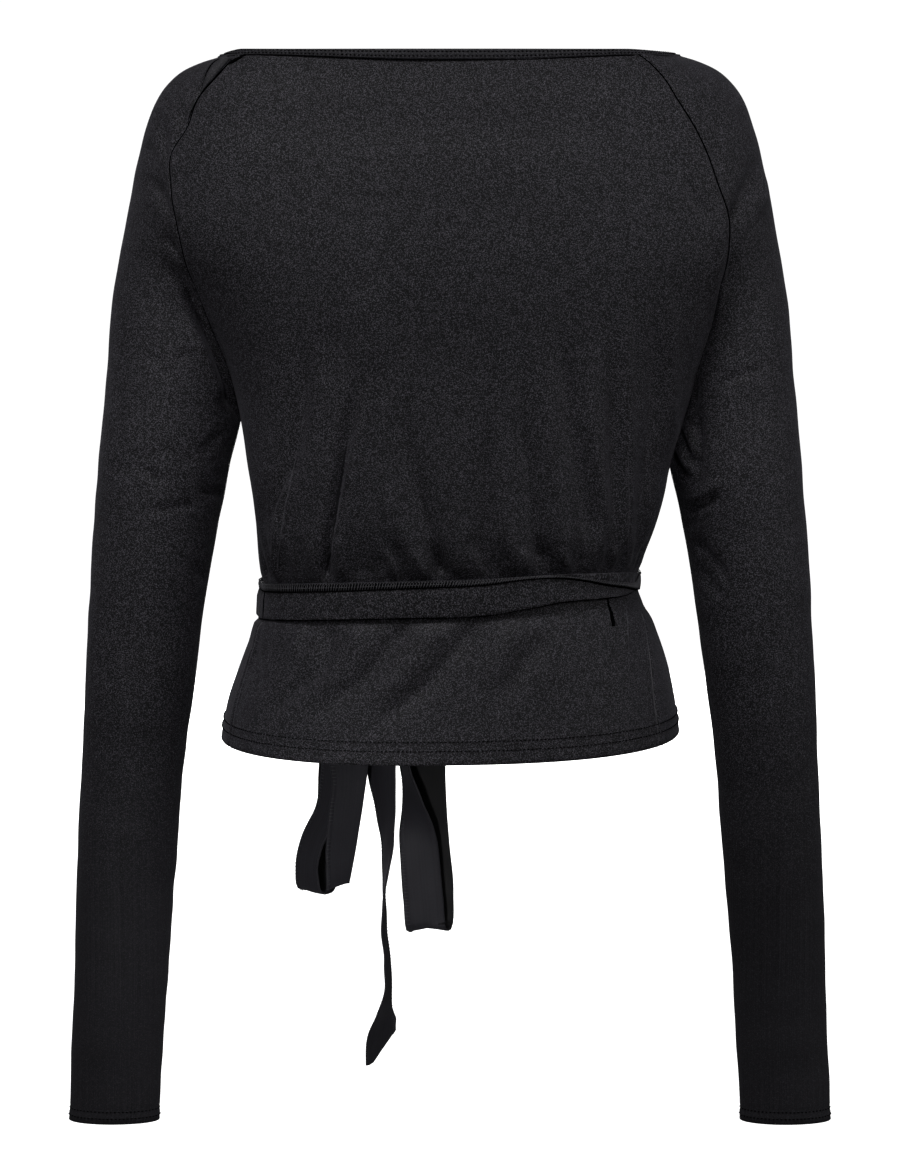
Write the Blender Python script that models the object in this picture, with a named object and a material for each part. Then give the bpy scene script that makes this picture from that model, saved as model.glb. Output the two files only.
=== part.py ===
"""Wrap top: raglan long sleeves, wide straight neck, two crossed fronts, a wrapped waist tie and a bow.

The front faces -Y, the back +Y and the wearer's left is +X. The origin is between the shoulders at the
height of the neckline. Tables are in millimetres and degrees. LEVEL names a cloth line across the garment
by its height at the side seams; seam angles are counted from the garment's side towards the back.
"""
import math

import bpy
import numpy as np

MM = 0.001

# Driving dimensions
WALL = 1.2            # thickness of the cloth
SEAM_GAP = 0.34       # space between two pieces at a seam
BINDING_WIDTH = 6.0
BINDING_RISE = 0.4    # how far the folded binding stands proud on either side
FRONT_BINDING = 7.5   # width of the binding across the front edges, measured level
WRAP_LIFT = 3.2       # distance between the two crossed fronts
BACK_ROUND = 2.4      # exponent of the back's section; 2 is an ellipse
FRONT_ROUND = 2.2
TIE_WALL = 1.4
TIE_SEAM_RISE = 0.5   # overlocked seam along the tie's upper edge
TIE_REST = 0.65       # space under a tie
NECK_DROP = 10.0      # how far the front end of the shoulder's neck edge lies below the back end
ARMPIT = {1: -234.0, -1: -262.0}
BELT_TOP = -334.0
BELT_BOTTOM = -357.0

TIE_SPARE = 0.5       # room left where the outer tie passes over the inner one
TIE_FRONT_SPARE = 0.3  # and where it lies on the outer front
OUTER_TIE_SPAN = (-46.0, 286.2)   # angles about the torso, from the knot round the back to the knot again
INNER_TIE_SPAN = (146.0, -66.4)   # from the slit round the left side to the knot
INNER_TIE_WIDTH = 21.5
INNER_TIE_DROP = 0.5
INNER_TIE_SEAM = 2.0
INNER_TIE_DIP = 26.0  # how far the inner tie sinks before the left front, to pass under the outer tie's end
KNOT_CENTRE = (42.0, -102.5, -347.0)
KNOT_HEIGHT = 15.0    # half of it, as the next two
KNOT_ENDS = (6.0, 3.0)
KNOT_SWELL = (6.4, 4.6)

BACK_COLUMNS = 34
FRONT_COLUMNS = 20
SLEEVE_COLUMNS = 18
OUTER_TIE_STATIONS = 80
INNER_TIE_STATIONS = 52
LOOP_STATIONS = 40
END_STATIONS = {"short": 14, "long": 30}
END_CUTS = {"short": 2.5, "long": -9.0}   # slant of the two ends' cuts

# Torso sections. Half widths are the outline's, to the left and the right of the centre.
TORSO_COLUMNS = ("level", "half_left", "half_right", "back", "front")
TORSO = np.array([
    (0, 148.0, 148.0, 68, 63),
    (-12, 157.0, 156.0, 71, 67),
    (-30, 174.0, 172.5, 76, 73),
    (-47, 184.0, 183.5, 80, 78),
    (-64, 193.0, 190.5, 85, 82),
    (-82, 196.0, 196.0, 89, 87),
    (-100, 197.0, 199.0, 92, 92),
    (-125, 186.0, 193.5, 95.5, 101),
    (-150, 167.5, 180.0, 97, 109),
    (-172, 155.0, 171.0, 97, 115),
    (-199, 142.5, 160.0, 96, 119),
    (-220, 135.5, 153.5, 95, 118.5),
    (-240, 131.5, 147.0, 94, 116),
    (-262, 128.7, 140.0, 93, 111),
    (-285, 125.2, 135.4, 92, 105),
    (-305, 123.3, 129.8, 92, 100),
    (-322, 121.8, 124.0, 92, 96.5),
    (-330, 120.5, 121.6, 91, 95),
    (-335, 118.6, 119.6, 89.8, 93.4),
    (-346, 118.2, 119.8, 89.6, 93),
    (-352, 118.5, 121.4, 89.8, 93.2),
    (-357, 119.5, 123.6, 90.2, 93.6),
    (-362, 124.6, 127.4, 92.8, 95),
    (-375, 130.0, 133.2, 98, 98),
    (-390, 135.2, 138.4, 103, 101),
    (-412, 142.4, 143.4, 109, 104.5),
    (-434, 146.3, 146.6, 114, 107),
])

# Angles of the raglan seams, and below the armpits of the side seams.
SEAM_COLUMNS = ("level", "back_left", "front_left", "back_right", "front_right")
SEAMS = np.array([
    (0, 29.5, -31.5, 43.5, -31.5),
    (-6, 28.5, -34.0, 39.5, -34.0),
    (-14, 27.5, -36.5, 37.0, -36.5),
    (-30, 27.6, -40.0, 38.0, -40.0),
    (-47, 29.7, -41.0, 37.0, -41.0),
    (-64, 28.0, -40.5, 35.6, -41.0),
    (-82, 29.8, -39.5, 34.6, -40.5),
    (-104, 32.0, -37.5, 31.6, -39.0),
    (-125, 28.6, -33.0, 28.4, -36.5),
    (-142, 23.0, -28.5, 24.4, -34.0),
    (-158, 18.4, -25.0, 20.3, -31.0),
    (-174, 15.2, -21.5, 17.2, -28.5),
    (-190, 13.6, -17.5, 14.6, -26.0),
    (-206, 10.8, -12.0, 12.4, -22.5),
    (-220, 6.8, -5.5, 10.6, -18.0),
    (-234, 1.5, 1.5, 8.6, -12.0),
    (-248, 3.0, 3.0, 5.8, -5.0),
    (-262, 5.5, 5.5, 2.5, 2.5),
    (-284, 9.0, 9.0, 8.5, 8.5),
    (-300, 11.0, 11.0, 12.5, 12.5),
    (-330, 13.0, 13.0, 14.0, 14.0),
    (-357, 17.0, 17.0, 16.5, 16.5),
    (-375, 17.2, 17.2, 22.0, 22.0),
    (-400, 17.8, 17.8, 27.0, 27.0),
    (-434, 19.5, 19.5, 28.0, 28.0),
])

# The wrap's free edge: distance across from the centre, positive on the front's own side.
EDGE_COLUMNS = ("level", "across")
EDGE = np.array([
    (0, 128.0),
    (-14, 119.0),
    (-60, 95.0),
    (-100, 68.0),
    (-150, 35.0),
    (-200, 1.0),
    (-250, -32.0),
    (-290, -62.0),
    (-326, -89.0),
    (-357, -92.0),
    (-390, -98.0),
    (-434, -102.0),
])

# Sleeve sections: the outer line, then the half sizes and the centre.
SLEEVE_COLUMNS_NAMES = ("level", "out_x", "out_z", "half_width", "half_depth", "centre_y")
SLEEVE = np.array([
    (0, 140.3, -2.4, 44.0, 44, 1),
    (-6, 146.4, -4.4, 44.0, 44, 1),
    (-14, 155.4, -7.0, 44.0, 44, 1),
    (-25, 167.6, -12.4, 44.0, 44, 1),
    (-38, 177.4, -20.8, 44.0, 44, 1),
    (-54, 186.2, -33.6, 44.0, 44, 1),
    (-72, 192.6, -51.5, 44.0, 44, 1),
    (-92, 198.2, -73.6, 44.0, 44, 1),
    (-112, 203.0, -96.0, 44.0, 44, 1),
    (-132, 207.0, -116.4, 44.0, 44, 1),
    (-152, 210.7, -137.6, 44.0, 44, 1),
    (-172, 213.7, -159.0, 44.0, 44, 1),
    (-192, 216.2, -180.6, 44.0, 44, 1),
    (-214, 218.8, -204.0, 43.8, 43.5, 1.5),
    (-234, 221.0, -225.6, 43.4, 43, 2),
    (-262, 223.7, -256.0, 42.0, 41.5, 3),
    (-300, 226.7, -298.0, 39.5, 38.5, 4.5),
    (-350, 230.2, -350.0, 37.0, 35, 6.5),
    (-400, 233.6, -400.0, 35.0, 32, 7),
    (-450, 236.3, -450.0, 33.3, 29, 5.5),
    (-505, 239.2, -505.0, 32.1, 26, 2),
    (-560, 241.9, -560.0, 31.0, 23, -2),
    (-620, 244.6, -620.0, 30.0, 20, -5.5),
    (-664, 246.8, -664.0, 29.5, 17.5, -7),
    (-690.5, 248.0, -690.5, 29.6, 16.5, -7),
])

# The cloth's lines rise at the back and fall to the left about the waist.
SLANT_COLUMNS = ("level", "back_rise", "fall_left")
SLANT = np.array([
    (-262, 0.0, 0.0),
    (-300, 2.5, 0.008),
    (-330, 8.0, 0.026),
    (-357, 8.0, 0.026),
    (-395, 0.0, 0.016),
    (-434, -4.0, 0.013),
])

BODY_LEVELS = (-6.35, -14, -25, -38, -54, -72, -92, -112, -132, -152, -172, -192, -206, -220, -234, -248, -262,
               -284, -302, -318, -328, -335, -346, -357, -364, -376, -394, -414, -434)
ARM_LEVELS = (-290, -320, -355, -395, -440, -490, -540, -590, -635, -670, -690.5)

# Folds of the back: depth (a valley is negative), half width, then where it begins, bends and meets the tie.
FOLD_COLUMNS = ("depth", "half_width", "x0", "z0", "x1", "z1", "x2", "z2")
GATHERS = np.array([
    (-2.6, 6.5, 96, -162, 90, -230, 106, -326),
    (-2.6, 6.0, 59, -205, 64, -262, 76, -323),
    (-2.4, 7.0, 26, -205, 24, -268, 4, -323),
    (-2.4, 6.5, -21, -235, -23, -280, -20, -323),
    (-2.6, 6.0, -42, -215, -50, -276, -61, -323),
    (-2.6, 6.5, -68, -165, -75, -245, -87, -323),
    (-2.4, 6.0, -100, -190, -101, -255, -98, -320),
    (-2.2, 6.5, -124, -165, -125, -240, -114, -320),
    (-2.6, 5.0, 64, -286, 63, -307, 61, -325),
    (-2.4, 5.0, 34, -296, 33, -310, 33, -325),
    (1.8, 6.0, 103, -270, 106, -307, 92, -326),
    (1.6, 8.0, 54, -140, 47, -190, 62, -260),
    (1.8, 5.0, 54, -225, 60, -270, 69, -323),
    (1.8, 6.0, 39, -258, 31, -295, 18, -323),
    (1.8, 6.5, 0, -210, -2, -276, -6, -323),
    (1.8, 6.0, -33, -250, -35, -295, -41, -323),
    (1.8, 6.5, -53, -165, -59, -250, -73, -323),
    (1.8, 5.5, -86, -180, -87, -255, -95, -318),
    (1.6, 5.0, -108, -150, -110, -235, -109, -320),
])
PEPLUM_FOLDS = np.array([
    (-2.4, 6.5, 86, -414, 50, -384, 25, -351),
    (-2.4, 7.0, 46, -424, 8, -392, -19, -349),
    (-2.0, 6.0, 112, -418, 90, -391, 75, -357),
    (-1.6, 8.0, -22, -411, -40, -386, -68, -357),
    (-1.4, 5.0, 119, -404, 122, -379, 122, -358),
    (1.5, 6.5, 62, -412, 34, -382, 13, -351),
    (1.5, 7.5, 20, -424, -12, -390, -33, -351),
    (1.2, 5.0, 101, -384, 94, -367, 89, -354),
    (1.2, 5.0, -113, -390, -112, -366, -110, -346),
])

# Soft folds of the hidden fronts, drawn towards the far side of the waist, in each front's own direction.
FRONT_FOLDS = np.array([
    (-2.2, 12, 70, -150, 10, -235, -62, -326),
    (-2.4, 12, 100, -190, 40, -268, -38, -328),
    (-2.2, 11, 112, -240, 66, -296, 4, -330),
    (1.6, 12, 86, -168, 24, -252, -50, -327),
    (1.6, 12, 108, -215, 54, -284, -18, -329),
    (-1.8, 11, 60, -422, 10, -386, -14, -360),
    (-1.8, 11, -10, -424, -42, -388, -56, -360),
])

# The outer tie: its lower edge rises and its overlocked seam folds over where it turns on the right of the back.
OUTER_TIE_COLUMNS = ("angle", "lift", "bottom_rise", "seam")
OUTER_TIE = np.array([
    (-46, 0, 0.3, 4.5),
    (82, 0, 0.3, 4.5),
    (96, 0, 0.4, 3.8),
    (109, 1.3, 3.8, 2.0),
    (122, 2.0, 7.4, 2.4),
    (130, 2.0, 8.0, 4.5),
    (138, 1.8, 8.5, 7.0),
    (152, 1.4, 9.8, 9.6),
    (165, 0.6, 12.2, 11.0),
    (176, 0, 13.6, 11.0),
    (205, 0, 12.6, 10.0),
    (250, 0, 0, 4.5),
    (287, 0, 0, 4.5),
])

# The bow's pieces, from the knot down. face turns the strip about the upright, 0 across and 90 edge-on.
BOW_COLUMNS = ("x", "y", "z", "width", "face")
LOOP_LEFT = np.array([
    (61.2, -101.0, -350, 13, 0),
    (68.0, -110.0, -372, 19, -6),
    (73.0, -121.0, -420, 25, -10),
    (75.0, -128.0, -475, 27, -15),
    (79.0, -132.0, -520, 27, -30),
    (84.0, -133.0, -548, 27, -42),
    (88.5, -130.0, -563, 27, -48),
    (93.0, -126.0, -563, 27, -50),
    (95.5, -122.5, -549, 27, -50),
    (92.0, -120.5, -530, 27, -50),
    (81.0, -119.0, -506, 27, -46),
    (75.0, -117.5, -475, 26, -34),
    (71.0, -115.0, -440, 24, -20),
    (65.0, -111.5, -405, 20, -6),
    (60.0, -107.0, -378, 15, 0),
    (58.2, -104.0, -360, 11, 0),
])
LOOP_RIGHT = np.array([
    (24.0, -102.0, -350, 13, 0),
    (12.0, -111.0, -372, 19, 8),
    (12.0, -121.0, -420, 25, 10),
    (16.0, -126.0, -475, 27, -12),
    (14.0, -127.0, -525, 27, -12),
    (11.0, -126.0, -565, 27, -4),
    (12.5, -123.0, -586, 27, 0),
    (15.0, -118.0, -587, 27, 2),
    (18.0, -114.5, -566, 27, 4),
    (21.0, -113.5, -530, 26, -6),
    (25.0, -114.5, -500, 24, -35),
    (29.0, -117.0, -472, 20, -66),
    (28.5, -116.0, -440, 16, -55),
    (27.0, -110.0, -400, 13, -25),
    (27.0, -104.5, -360, 9, 0),
])
END_SHORT = np.array([
    (47.0, -100.2, -363.4, 7, 0),
    (56.0, -103.2, -400, 17, 0),
    (64.0, -106.3, -440, 24, 0),
    (68.0, -106.5, -475, 27, 6),
    (72.0, -106.5, -505, 27, 12),
    (75.0, -107.0, -530, 26, 20),
    (77.0, -107.0, -556, 22, 34),
])
END_LONG = np.array([
    (40.0, -104.5, -363.4, 10, 0),
    (43.0, -110.0, -400, 18, -8),
    (46.0, -114.0, -445, 25, -24),
    (46.5, -114.5, -473, 27, -40),
    (44.0, -114.0, -500, 27, -56),
    (42.0, -113.0, -524, 27, -70),
    (43.0, -112.5, -551, 27, -88),
    (43.8, -112.5, -578, 27, -92),
    (41.5, -112.5, -605, 27, -92),
    (40.5, -112.5, -624, 27, -97),
    (42.0, -112.5, -640, 27, -113),
    (43.5, -112.5, -652, 27, -126),
    (44.0, -112.5, -666, 27, -130),
])


def column(table, names, name, at):
    """Smooth curve through one column of a table."""
    order = np.argsort(table[:, 0])
    known = table[order, 0]
    values = table[order, names.index(name)]
    slope = np.gradient(values, known)
    at = np.clip(np.asarray(at, float), known[0], known[-1])
    i = np.clip(np.searchsorted(known, at) - 1, 0, len(known) - 2)
    step = known[i + 1] - known[i]
    s = (at - known[i]) / step
    return ((2 * s**3 - 3 * s**2 + 1) * values[i] + (s**3 - 2 * s**2 + s) * step * slope[i]
            + (3 * s**2 - 2 * s**3) * values[i + 1] + (s**3 - s**2) * step * slope[i + 1])


def ramp(value, start, end):
    s = np.clip((np.asarray(value, float) - start) / (end - start), 0, 1)
    return s * s * (3 - 2 * s)


def section(side, angle, level):
    """Point of the torso's outer surface; angle runs from one side (1 left, -1 right) towards the back."""
    angle, level = np.broadcast_arrays(np.asarray(angle, float), np.asarray(level, float))
    turn = np.radians(angle)
    cos, sin = np.cos(turn), np.sin(turn)
    half_left = column(TORSO, TORSO_COLUMNS, "half_left", level)
    half_right = column(TORSO, TORSO_COLUMNS, "half_right", level)
    on_left = (cos * side) >= 0
    half = np.where(on_left, half_left, half_right)
    depth = np.where(sin >= 0, column(TORSO, TORSO_COLUMNS, "back", level),
                     -column(TORSO, TORSO_COLUMNS, "front", level))
    power = np.where(sin >= 0, 2 / BACK_ROUND, 2 / FRONT_ROUND)
    x = side * np.sign(cos) * half * np.abs(cos) ** power
    y = depth * np.abs(sin) ** power
    rise = column(SLANT, SLANT_COLUMNS, "back_rise", level) * np.clip(sin, 0, 1)
    fall = column(SLANT, SLANT_COLUMNS, "fall_left", level) * x
    drop = NECK_DROP * np.clip(1 + level / 70, 0, 1) * ramp(-sin, -0.2, 0.5)
    return np.stack([x, y, level + rise - fall - drop], -1)


def seam_angle(side, face, level):
    """Angle of the raglan seam behind or in front, or of the side seam, which both faces share."""
    hand = "left" if side > 0 else "right"
    back = column(SEAMS, SEAM_COLUMNS, f"back_{hand}", level)
    front = column(SEAMS, SEAM_COLUMNS, f"front_{hand}", level)
    return back if face == "back" else np.where(np.asarray(level) <= ARMPIT[side], back, front)


def edge_angle(side, level, inset=0.0):
    """Angle of a front's free edge, or of a line inside it."""
    across = column(EDGE, EDGE_COLUMNS, "across", level) + inset
    own = column(TORSO, TORSO_COLUMNS, "half_left" if side > 0 else "half_right", level)
    other = column(TORSO, TORSO_COLUMNS, "half_right" if side > 0 else "half_left", level)
    half = np.where(across >= 0, own, other)
    share = np.clip(np.abs(across) / half, 0, 1) ** (FRONT_ROUND / 2)
    return np.where(across >= 0, -np.degrees(np.arccos(share)), -180 + np.degrees(np.arccos(share)))


def relief(points, folds, mirror=1.0):
    """Height of the folds over each point, seen square on. Each fades out at its free end."""
    height = np.zeros(points.shape[:-1])
    x, z = points[..., 0] * mirror, points[..., 2]
    for depth, half_width, x0, z0, x1, z1, x2, z2 in folds:
        s = np.linspace(0, 1, 15)
        line_x = (1 - s)**2 * x0 + 2 * s * (1 - s) * x1 + s**2 * x2
        line_z = (1 - s)**2 * z0 + 2 * s * (1 - s) * z1 + s**2 * z2
        nearest = np.full(x.shape, 1e9)
        along = np.zeros(x.shape)
        for k in range(len(s) - 1):
            run_x, run_z = line_x[k + 1] - line_x[k], line_z[k + 1] - line_z[k]
            t = np.clip(((x - line_x[k]) * run_x + (z - line_z[k]) * run_z) / (run_x**2 + run_z**2), 0, 1)
            away = np.hypot(x - line_x[k] - t * run_x, z - line_z[k] - t * run_z)
            closer = away < nearest
            nearest = np.where(closer, away, nearest)
            along = np.where(closer, s[k] + t * (s[1] - s[0]), along)
        height += depth * np.exp(-(nearest / half_width)**2) * ramp(along, 0.0, 0.75)
    return height


def belt_hold(level):
    """1 where the cloth is free to fold, 0 where the tie presses it flat."""
    return 1 - ramp(level, BELT_BOTTOM - 9, BELT_BOTTOM - 1) * (1 - ramp(level, BELT_TOP + 1, BELT_TOP + 8))


def grid_normals(points):
    """Unit normals of a grid of points, rows down and columns across."""
    down = np.gradient(points, axis=0)
    across = np.gradient(points, axis=1)
    normal = np.cross(down, across)
    length = np.linalg.norm(normal, axis=-1, keepdims=True)
    return normal / np.maximum(length, 1e-9)


def clear_of_edges(points, levels):
    """1 where a front is free to fold, 0 along the two bindings, which lie flat over and under it."""
    across = column(EDGE, EDGE_COLUMNS, "across", levels)
    return ramp(np.abs(points[..., 0] - across), 8, 26) * ramp(np.abs(points[..., 0] + across), 8, 26)


def raise_folds(points, levels, folds, mirror=1.0):
    normals = grid_normals(points)
    centre = np.array((0, 0, 1)) * points
    normals *= np.sign(np.einsum("...i,...i->...", normals, points - centre))[..., None]
    height = relief(points, folds, mirror) * belt_hold(levels)
    if mirror < 0:
        height = height * clear_of_edges(points, levels)
    return points + normals * height[..., None]


class Piece:
    """A cloth wall: its outer points, the index of each in a grid, and its outward quads."""

    def __init__(self, name, grid, index=None, flip=False):
        rows, columns = grid.shape[:2]
        self.name = name
        self.index = np.arange(rows * columns).reshape(rows, columns) if index is None else index
        self.outer = grid.reshape(-1, 3).copy()
        quads = []
        for r in range(rows - 1):
            for c in range(columns - 1):
                loop = [self.index[r, c], self.index[r + 1, c], self.index[r + 1, c + 1], self.index[r, c + 1]]
                corners = [loop[k] for k in range(4) if loop[k] != loop[k - 1]]
                if len(set(corners)) >= 3:
                    quads.append(corners[::-1] if flip else corners)
        self.quads = quads

    def face_normals(self):
        total = np.zeros_like(self.outer)
        for quad in self.quads:
            p = self.outer[quad]
            normal = np.cross(p[1] - p[0], p[2] - p[0])
            if len(quad) == 4:
                normal = normal + np.cross(p[2] - p[0], p[3] - p[0])
            total[quad] += normal
        return total

    def unit_normals(self):
        total = self.face_normals()
        return total / np.maximum(np.linalg.norm(total, axis=1, keepdims=True), 1e-12)

    def pull_in(self, seam, inner):
        """Moves a seam's points towards the points beside them by half the seam's gap."""
        pairs = {int(a): int(b) for a, b in zip(seam, inner) if a != b}
        moved = self.outer.copy()
        for a, b in pairs.items():
            way = self.outer[b] - self.outer[a]
            moved[a] += way / np.linalg.norm(way) * SEAM_GAP / 2
        self.outer = moved


def join_normals(pieces):
    """Normals that pieces share where their points meet, so that their walls meet without crossing."""
    own = [piece.unit_normals() for piece in pieces]
    keys = [[tuple(k) for k in np.round(piece.outer * 20).astype(int)] for piece in pieces]
    total, count = {}, {}
    for piece, normals, names in zip(pieces, own, keys):
        used = np.zeros(len(piece.outer), bool)
        for quad in piece.quads:
            used[quad] = True
        for i in np.nonzero(used)[0]:
            total[names[i]] = total.get(names[i], 0) + normals[i]
            count[names[i]] = count.get(names[i], 0) + 1
    for piece, normals, names in zip(pieces, own, keys):
        for i, name in enumerate(names):
            if count.get(name, 0) > 1:
                mean = total[name] / count[name]
                size = np.linalg.norm(mean)
                if size > 0.55:
                    normals[i] = mean / size
        piece.normals = normals


def back_piece():
    levels = np.array(BODY_LEVELS, float)[:, None]
    u = np.linspace(0, 1, BACK_COLUMNS + 1)[None, :]
    left = seam_angle(1, "back", levels)
    right = seam_angle(-1, "back", levels)
    angle = left + (180 - right - left) * u
    levels = np.broadcast_to(levels, angle.shape)
    points = raise_folds(section(1, angle, levels), levels, np.vstack([GATHERS, PEPLUM_FOLDS]))
    points[:, 0] = section(1, angle, levels)[:, 0]
    points[:, -1] = section(1, angle, levels)[:, -1]
    return Piece("back", points)


def wrap_lift(side, x):
    """How far a front lies out (the right one) or in (the left one) so that the two can cross."""
    share = ramp(x, -100, 70)
    return WRAP_LIFT * share if side < 0 else -WRAP_LIFT * (1 - share)


def level_outward(side, angle, level):
    """Level unit vector square to the torso's outline."""
    ahead = section(side, angle + 0.5, level) - section(side, angle - 0.5, level)
    out = np.stack([ahead[..., 1], -ahead[..., 0]], -1) * side
    out /= np.linalg.norm(out, axis=-1, keepdims=True)
    return np.concatenate([out, np.zeros(out.shape[:-1] + (1,))], -1)


def front_surface(side, angle, level):
    """Point of a front, with the lift that lets the two cross."""
    point = section(side, angle, level)
    return point + level_outward(side, angle, level) * wrap_lift(side, point[..., 0])[..., None]


def front_piece(side):
    name = "front_outer" if side < 0 else "front_inner"
    levels = np.array(BODY_LEVELS, float)[:, None]
    s = np.linspace(0, 1, FRONT_COLUMNS + 1)[None, :]
    seam = seam_angle(side, "front", levels)
    edge = edge_angle(side, levels, FRONT_BINDING + SEAM_GAP)
    edge = np.minimum(edge, seam)
    angle = seam + (edge - seam) * s
    levels = np.broadcast_to(levels, angle.shape)
    points = front_surface(side, angle, levels)
    seam_line = points[:, 0].copy()
    points = raise_folds(points, levels, FRONT_FOLDS, -1)
    points[:, 0] = seam_line
    index = np.arange(points.shape[0] * points.shape[1]).reshape(points.shape[:2])
    index[0, :] = index[0, 0]
    return Piece(name, points, index, flip=side > 0)


def sleeve_point(side, t, level):
    """Point of a sleeve; t runs from the front seam (-1) over the outer arm (0) to the back seam (1)."""
    t, level = np.broadcast_arrays(np.asarray(t, float), np.asarray(level, float))

    def size(name):
        return column(SLEEVE, SLEEVE_COLUMNS_NAMES, name, level)

    held = np.maximum(level, ARMPIT[side])
    half_width, half_depth = size("half_width"), size("half_depth")
    centre_x, centre_y = size("out_x") - half_width, size("centre_y")
    turns, reach, ends = {}, {}, {}
    for face in ("back", "front"):
        seam = section(side, seam_angle(side, face, held), held)
        away_x = (seam[..., 0] * side - (column(SLEEVE, SLEEVE_COLUMNS_NAMES, "out_x", held)
                  - column(SLEEVE, SLEEVE_COLUMNS_NAMES, "half_width", held)))
        away_x = away_x / column(SLEEVE, SLEEVE_COLUMNS_NAMES, "half_width", held)
        away_y = (seam[..., 1] - column(SLEEVE, SLEEVE_COLUMNS_NAMES, "centre_y", held))
        away_y = away_y / column(SLEEVE, SLEEVE_COLUMNS_NAMES, "half_depth", held)
        turn = np.degrees(np.arctan2(away_y, away_x))
        if face == "front":
            turn = np.where(turn > 90, turn - 360, turn)
        below = ramp(ARMPIT[side] - level, 0, 60)
        limit = 180 if face == "back" else -180
        turns[face] = turn + (limit - turn) * below
        reach[face] = 1 + (np.hypot(away_x, away_y) - 1) * (1 - ramp(ARMPIT[side] - level, 0, 30))
        ends[face] = np.where(level >= ARMPIT[side], seam[..., 2], level)
    behind = t >= 0
    share = np.abs(t)
    turn = np.radians(np.where(behind, turns["back"], turns["front"]) * share)
    stretch = 1 + (np.where(behind, reach["back"], reach["front"]) - 1) * share**2.5
    x = centre_x + half_width * np.cos(turn) * stretch
    y = centre_y + half_depth * np.sin(turn) * stretch
    end = np.where(behind, ends["back"], ends["front"])
    z = size("out_z") + (end - size("out_z")) * share**1.6
    return np.stack([side * x, y, z], -1)


def sleeve_piece(side):
    name = "sleeve_left" if side > 0 else "sleeve_right"
    armhole = [level for level in BODY_LEVELS if level >= ARMPIT[side]]
    below = [level for level in (-248, -262) if level < ARMPIT[side]]
    levels = np.array(armhole + below + list(ARM_LEVELS), float)[:, None]
    t = np.linspace(-1, 1, SLEEVE_COLUMNS + 1)[None, :]
    points = sleeve_point(side, t, levels)
    index = np.arange(points.shape[0] * points.shape[1]).reshape(points.shape[:2])
    closed = len(armhole) - 1
    index[closed:, -1] = index[closed:, 0]
    piece = Piece(name, points, index, flip=side < 0)
    piece.armhole_rows = closed
    return piece


def wall_mesh(piece, inner):
    """Closed faceted wall between a piece's outer points and its inner ones."""
    used = sorted({i for quad in piece.quads for i in quad})
    place = {old: new for new, old in enumerate(used)}
    count = len(used)
    points = np.concatenate([piece.outer[used], inner[used]])
    faces, edges = [], {}
    for quad in piece.quads:
        loop = [place[i] for i in quad]
        halves = [loop] if len(loop) == 3 else [[loop[0], loop[1], loop[2]], [loop[0], loop[2], loop[3]]]
        for half in halves:
            faces.append(half)
            faces.append([i + count for i in reversed(half)])
        for a, b in zip(loop, loop[1:] + loop[:1]):
            edges[(a, b)] = True
    for a, b in edges:
        if (b, a) not in edges:
            faces.append([b, a, a + count])
            faces.append([b, a + count, b + count])
    return points, faces


def strip_mesh(rings):
    """Closed solid through equal rings of points, capped at both ends; its two faces split alike."""
    rings = np.asarray(rings)
    count, around = rings.shape[:2]
    faces = []
    for k in range(count - 1):
        for j in range(around):
            a, b = k * around + j, k * around + (j + 1) % around
            if 2 * j < around:
                faces += [[a, b, b + around], [a, b + around, a + around]]
            else:
                faces += [[a, b, a + around], [b, b + around, a + around]]
    for j in range(1, around - 1):
        faces.append([0, j + 1, j])
        last = (count - 1) * around
        faces.append([last, last + j, last + j + 1])
    return rings.reshape(-1, 3), faces


def signed_volume(points, faces):
    a, b, c = (points[[face[k] for face in faces]] for k in range(3))
    return float(np.einsum("ij,ij->i", a, np.cross(b, c)).sum() / 6)


def binding_rings():
    """Rings of the neck binding, from the inner front's hem round the neck to the outer front's hem."""
    front_levels = np.array((0,) + BODY_LEVELS[1:], float)
    stations = []
    for side in (1, -1):
        upper = front_surface(side, edge_angle(side, front_levels), front_levels)
        lower = front_surface(side, edge_angle(side, front_levels, FRONT_BINDING), front_levels)
        lower[0] = section(side, seam_angle(side, "front", -BINDING_WIDTH), -BINDING_WIDTH)
        front = np.stack([upper, lower], 1)
        t = np.linspace(-1, 1, 11)[:, None]
        sleeve = sleeve_point(side, t, np.array([[0.0, -BINDING_WIDTH]]))
        stations.append((front, sleeve))
    u = np.linspace(0, 1, 19)[:, None]
    level = np.array([[0.0, -BINDING_WIDTH]])
    left, right = seam_angle(1, "back", level), seam_angle(-1, "back", level)
    back = section(1, left + (180 - right - left) * u, level)
    line = np.concatenate([
        stations[0][0][:0:-1], stations[0][1][:-1], back[:-1], stations[1][1][::-1][:-1], stations[1][0]])
    along = np.gradient(line, axis=0).mean(1)
    fall = line[:, 1] - line[:, 0]
    out = np.cross(fall, along)
    out /= np.linalg.norm(out, axis=1, keepdims=True)
    out = out[:, None, :]
    outer = line + out * BINDING_RISE
    inner = line - out * (WALL + BINDING_RISE)
    crown = line[:, 0] + out[:, 0] * -WALL / 2 + fall * -0.06
    return np.stack([outer[:, 1], outer[:, 0], crown, inner[:, 0], inner[:, 1]], 1)


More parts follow.
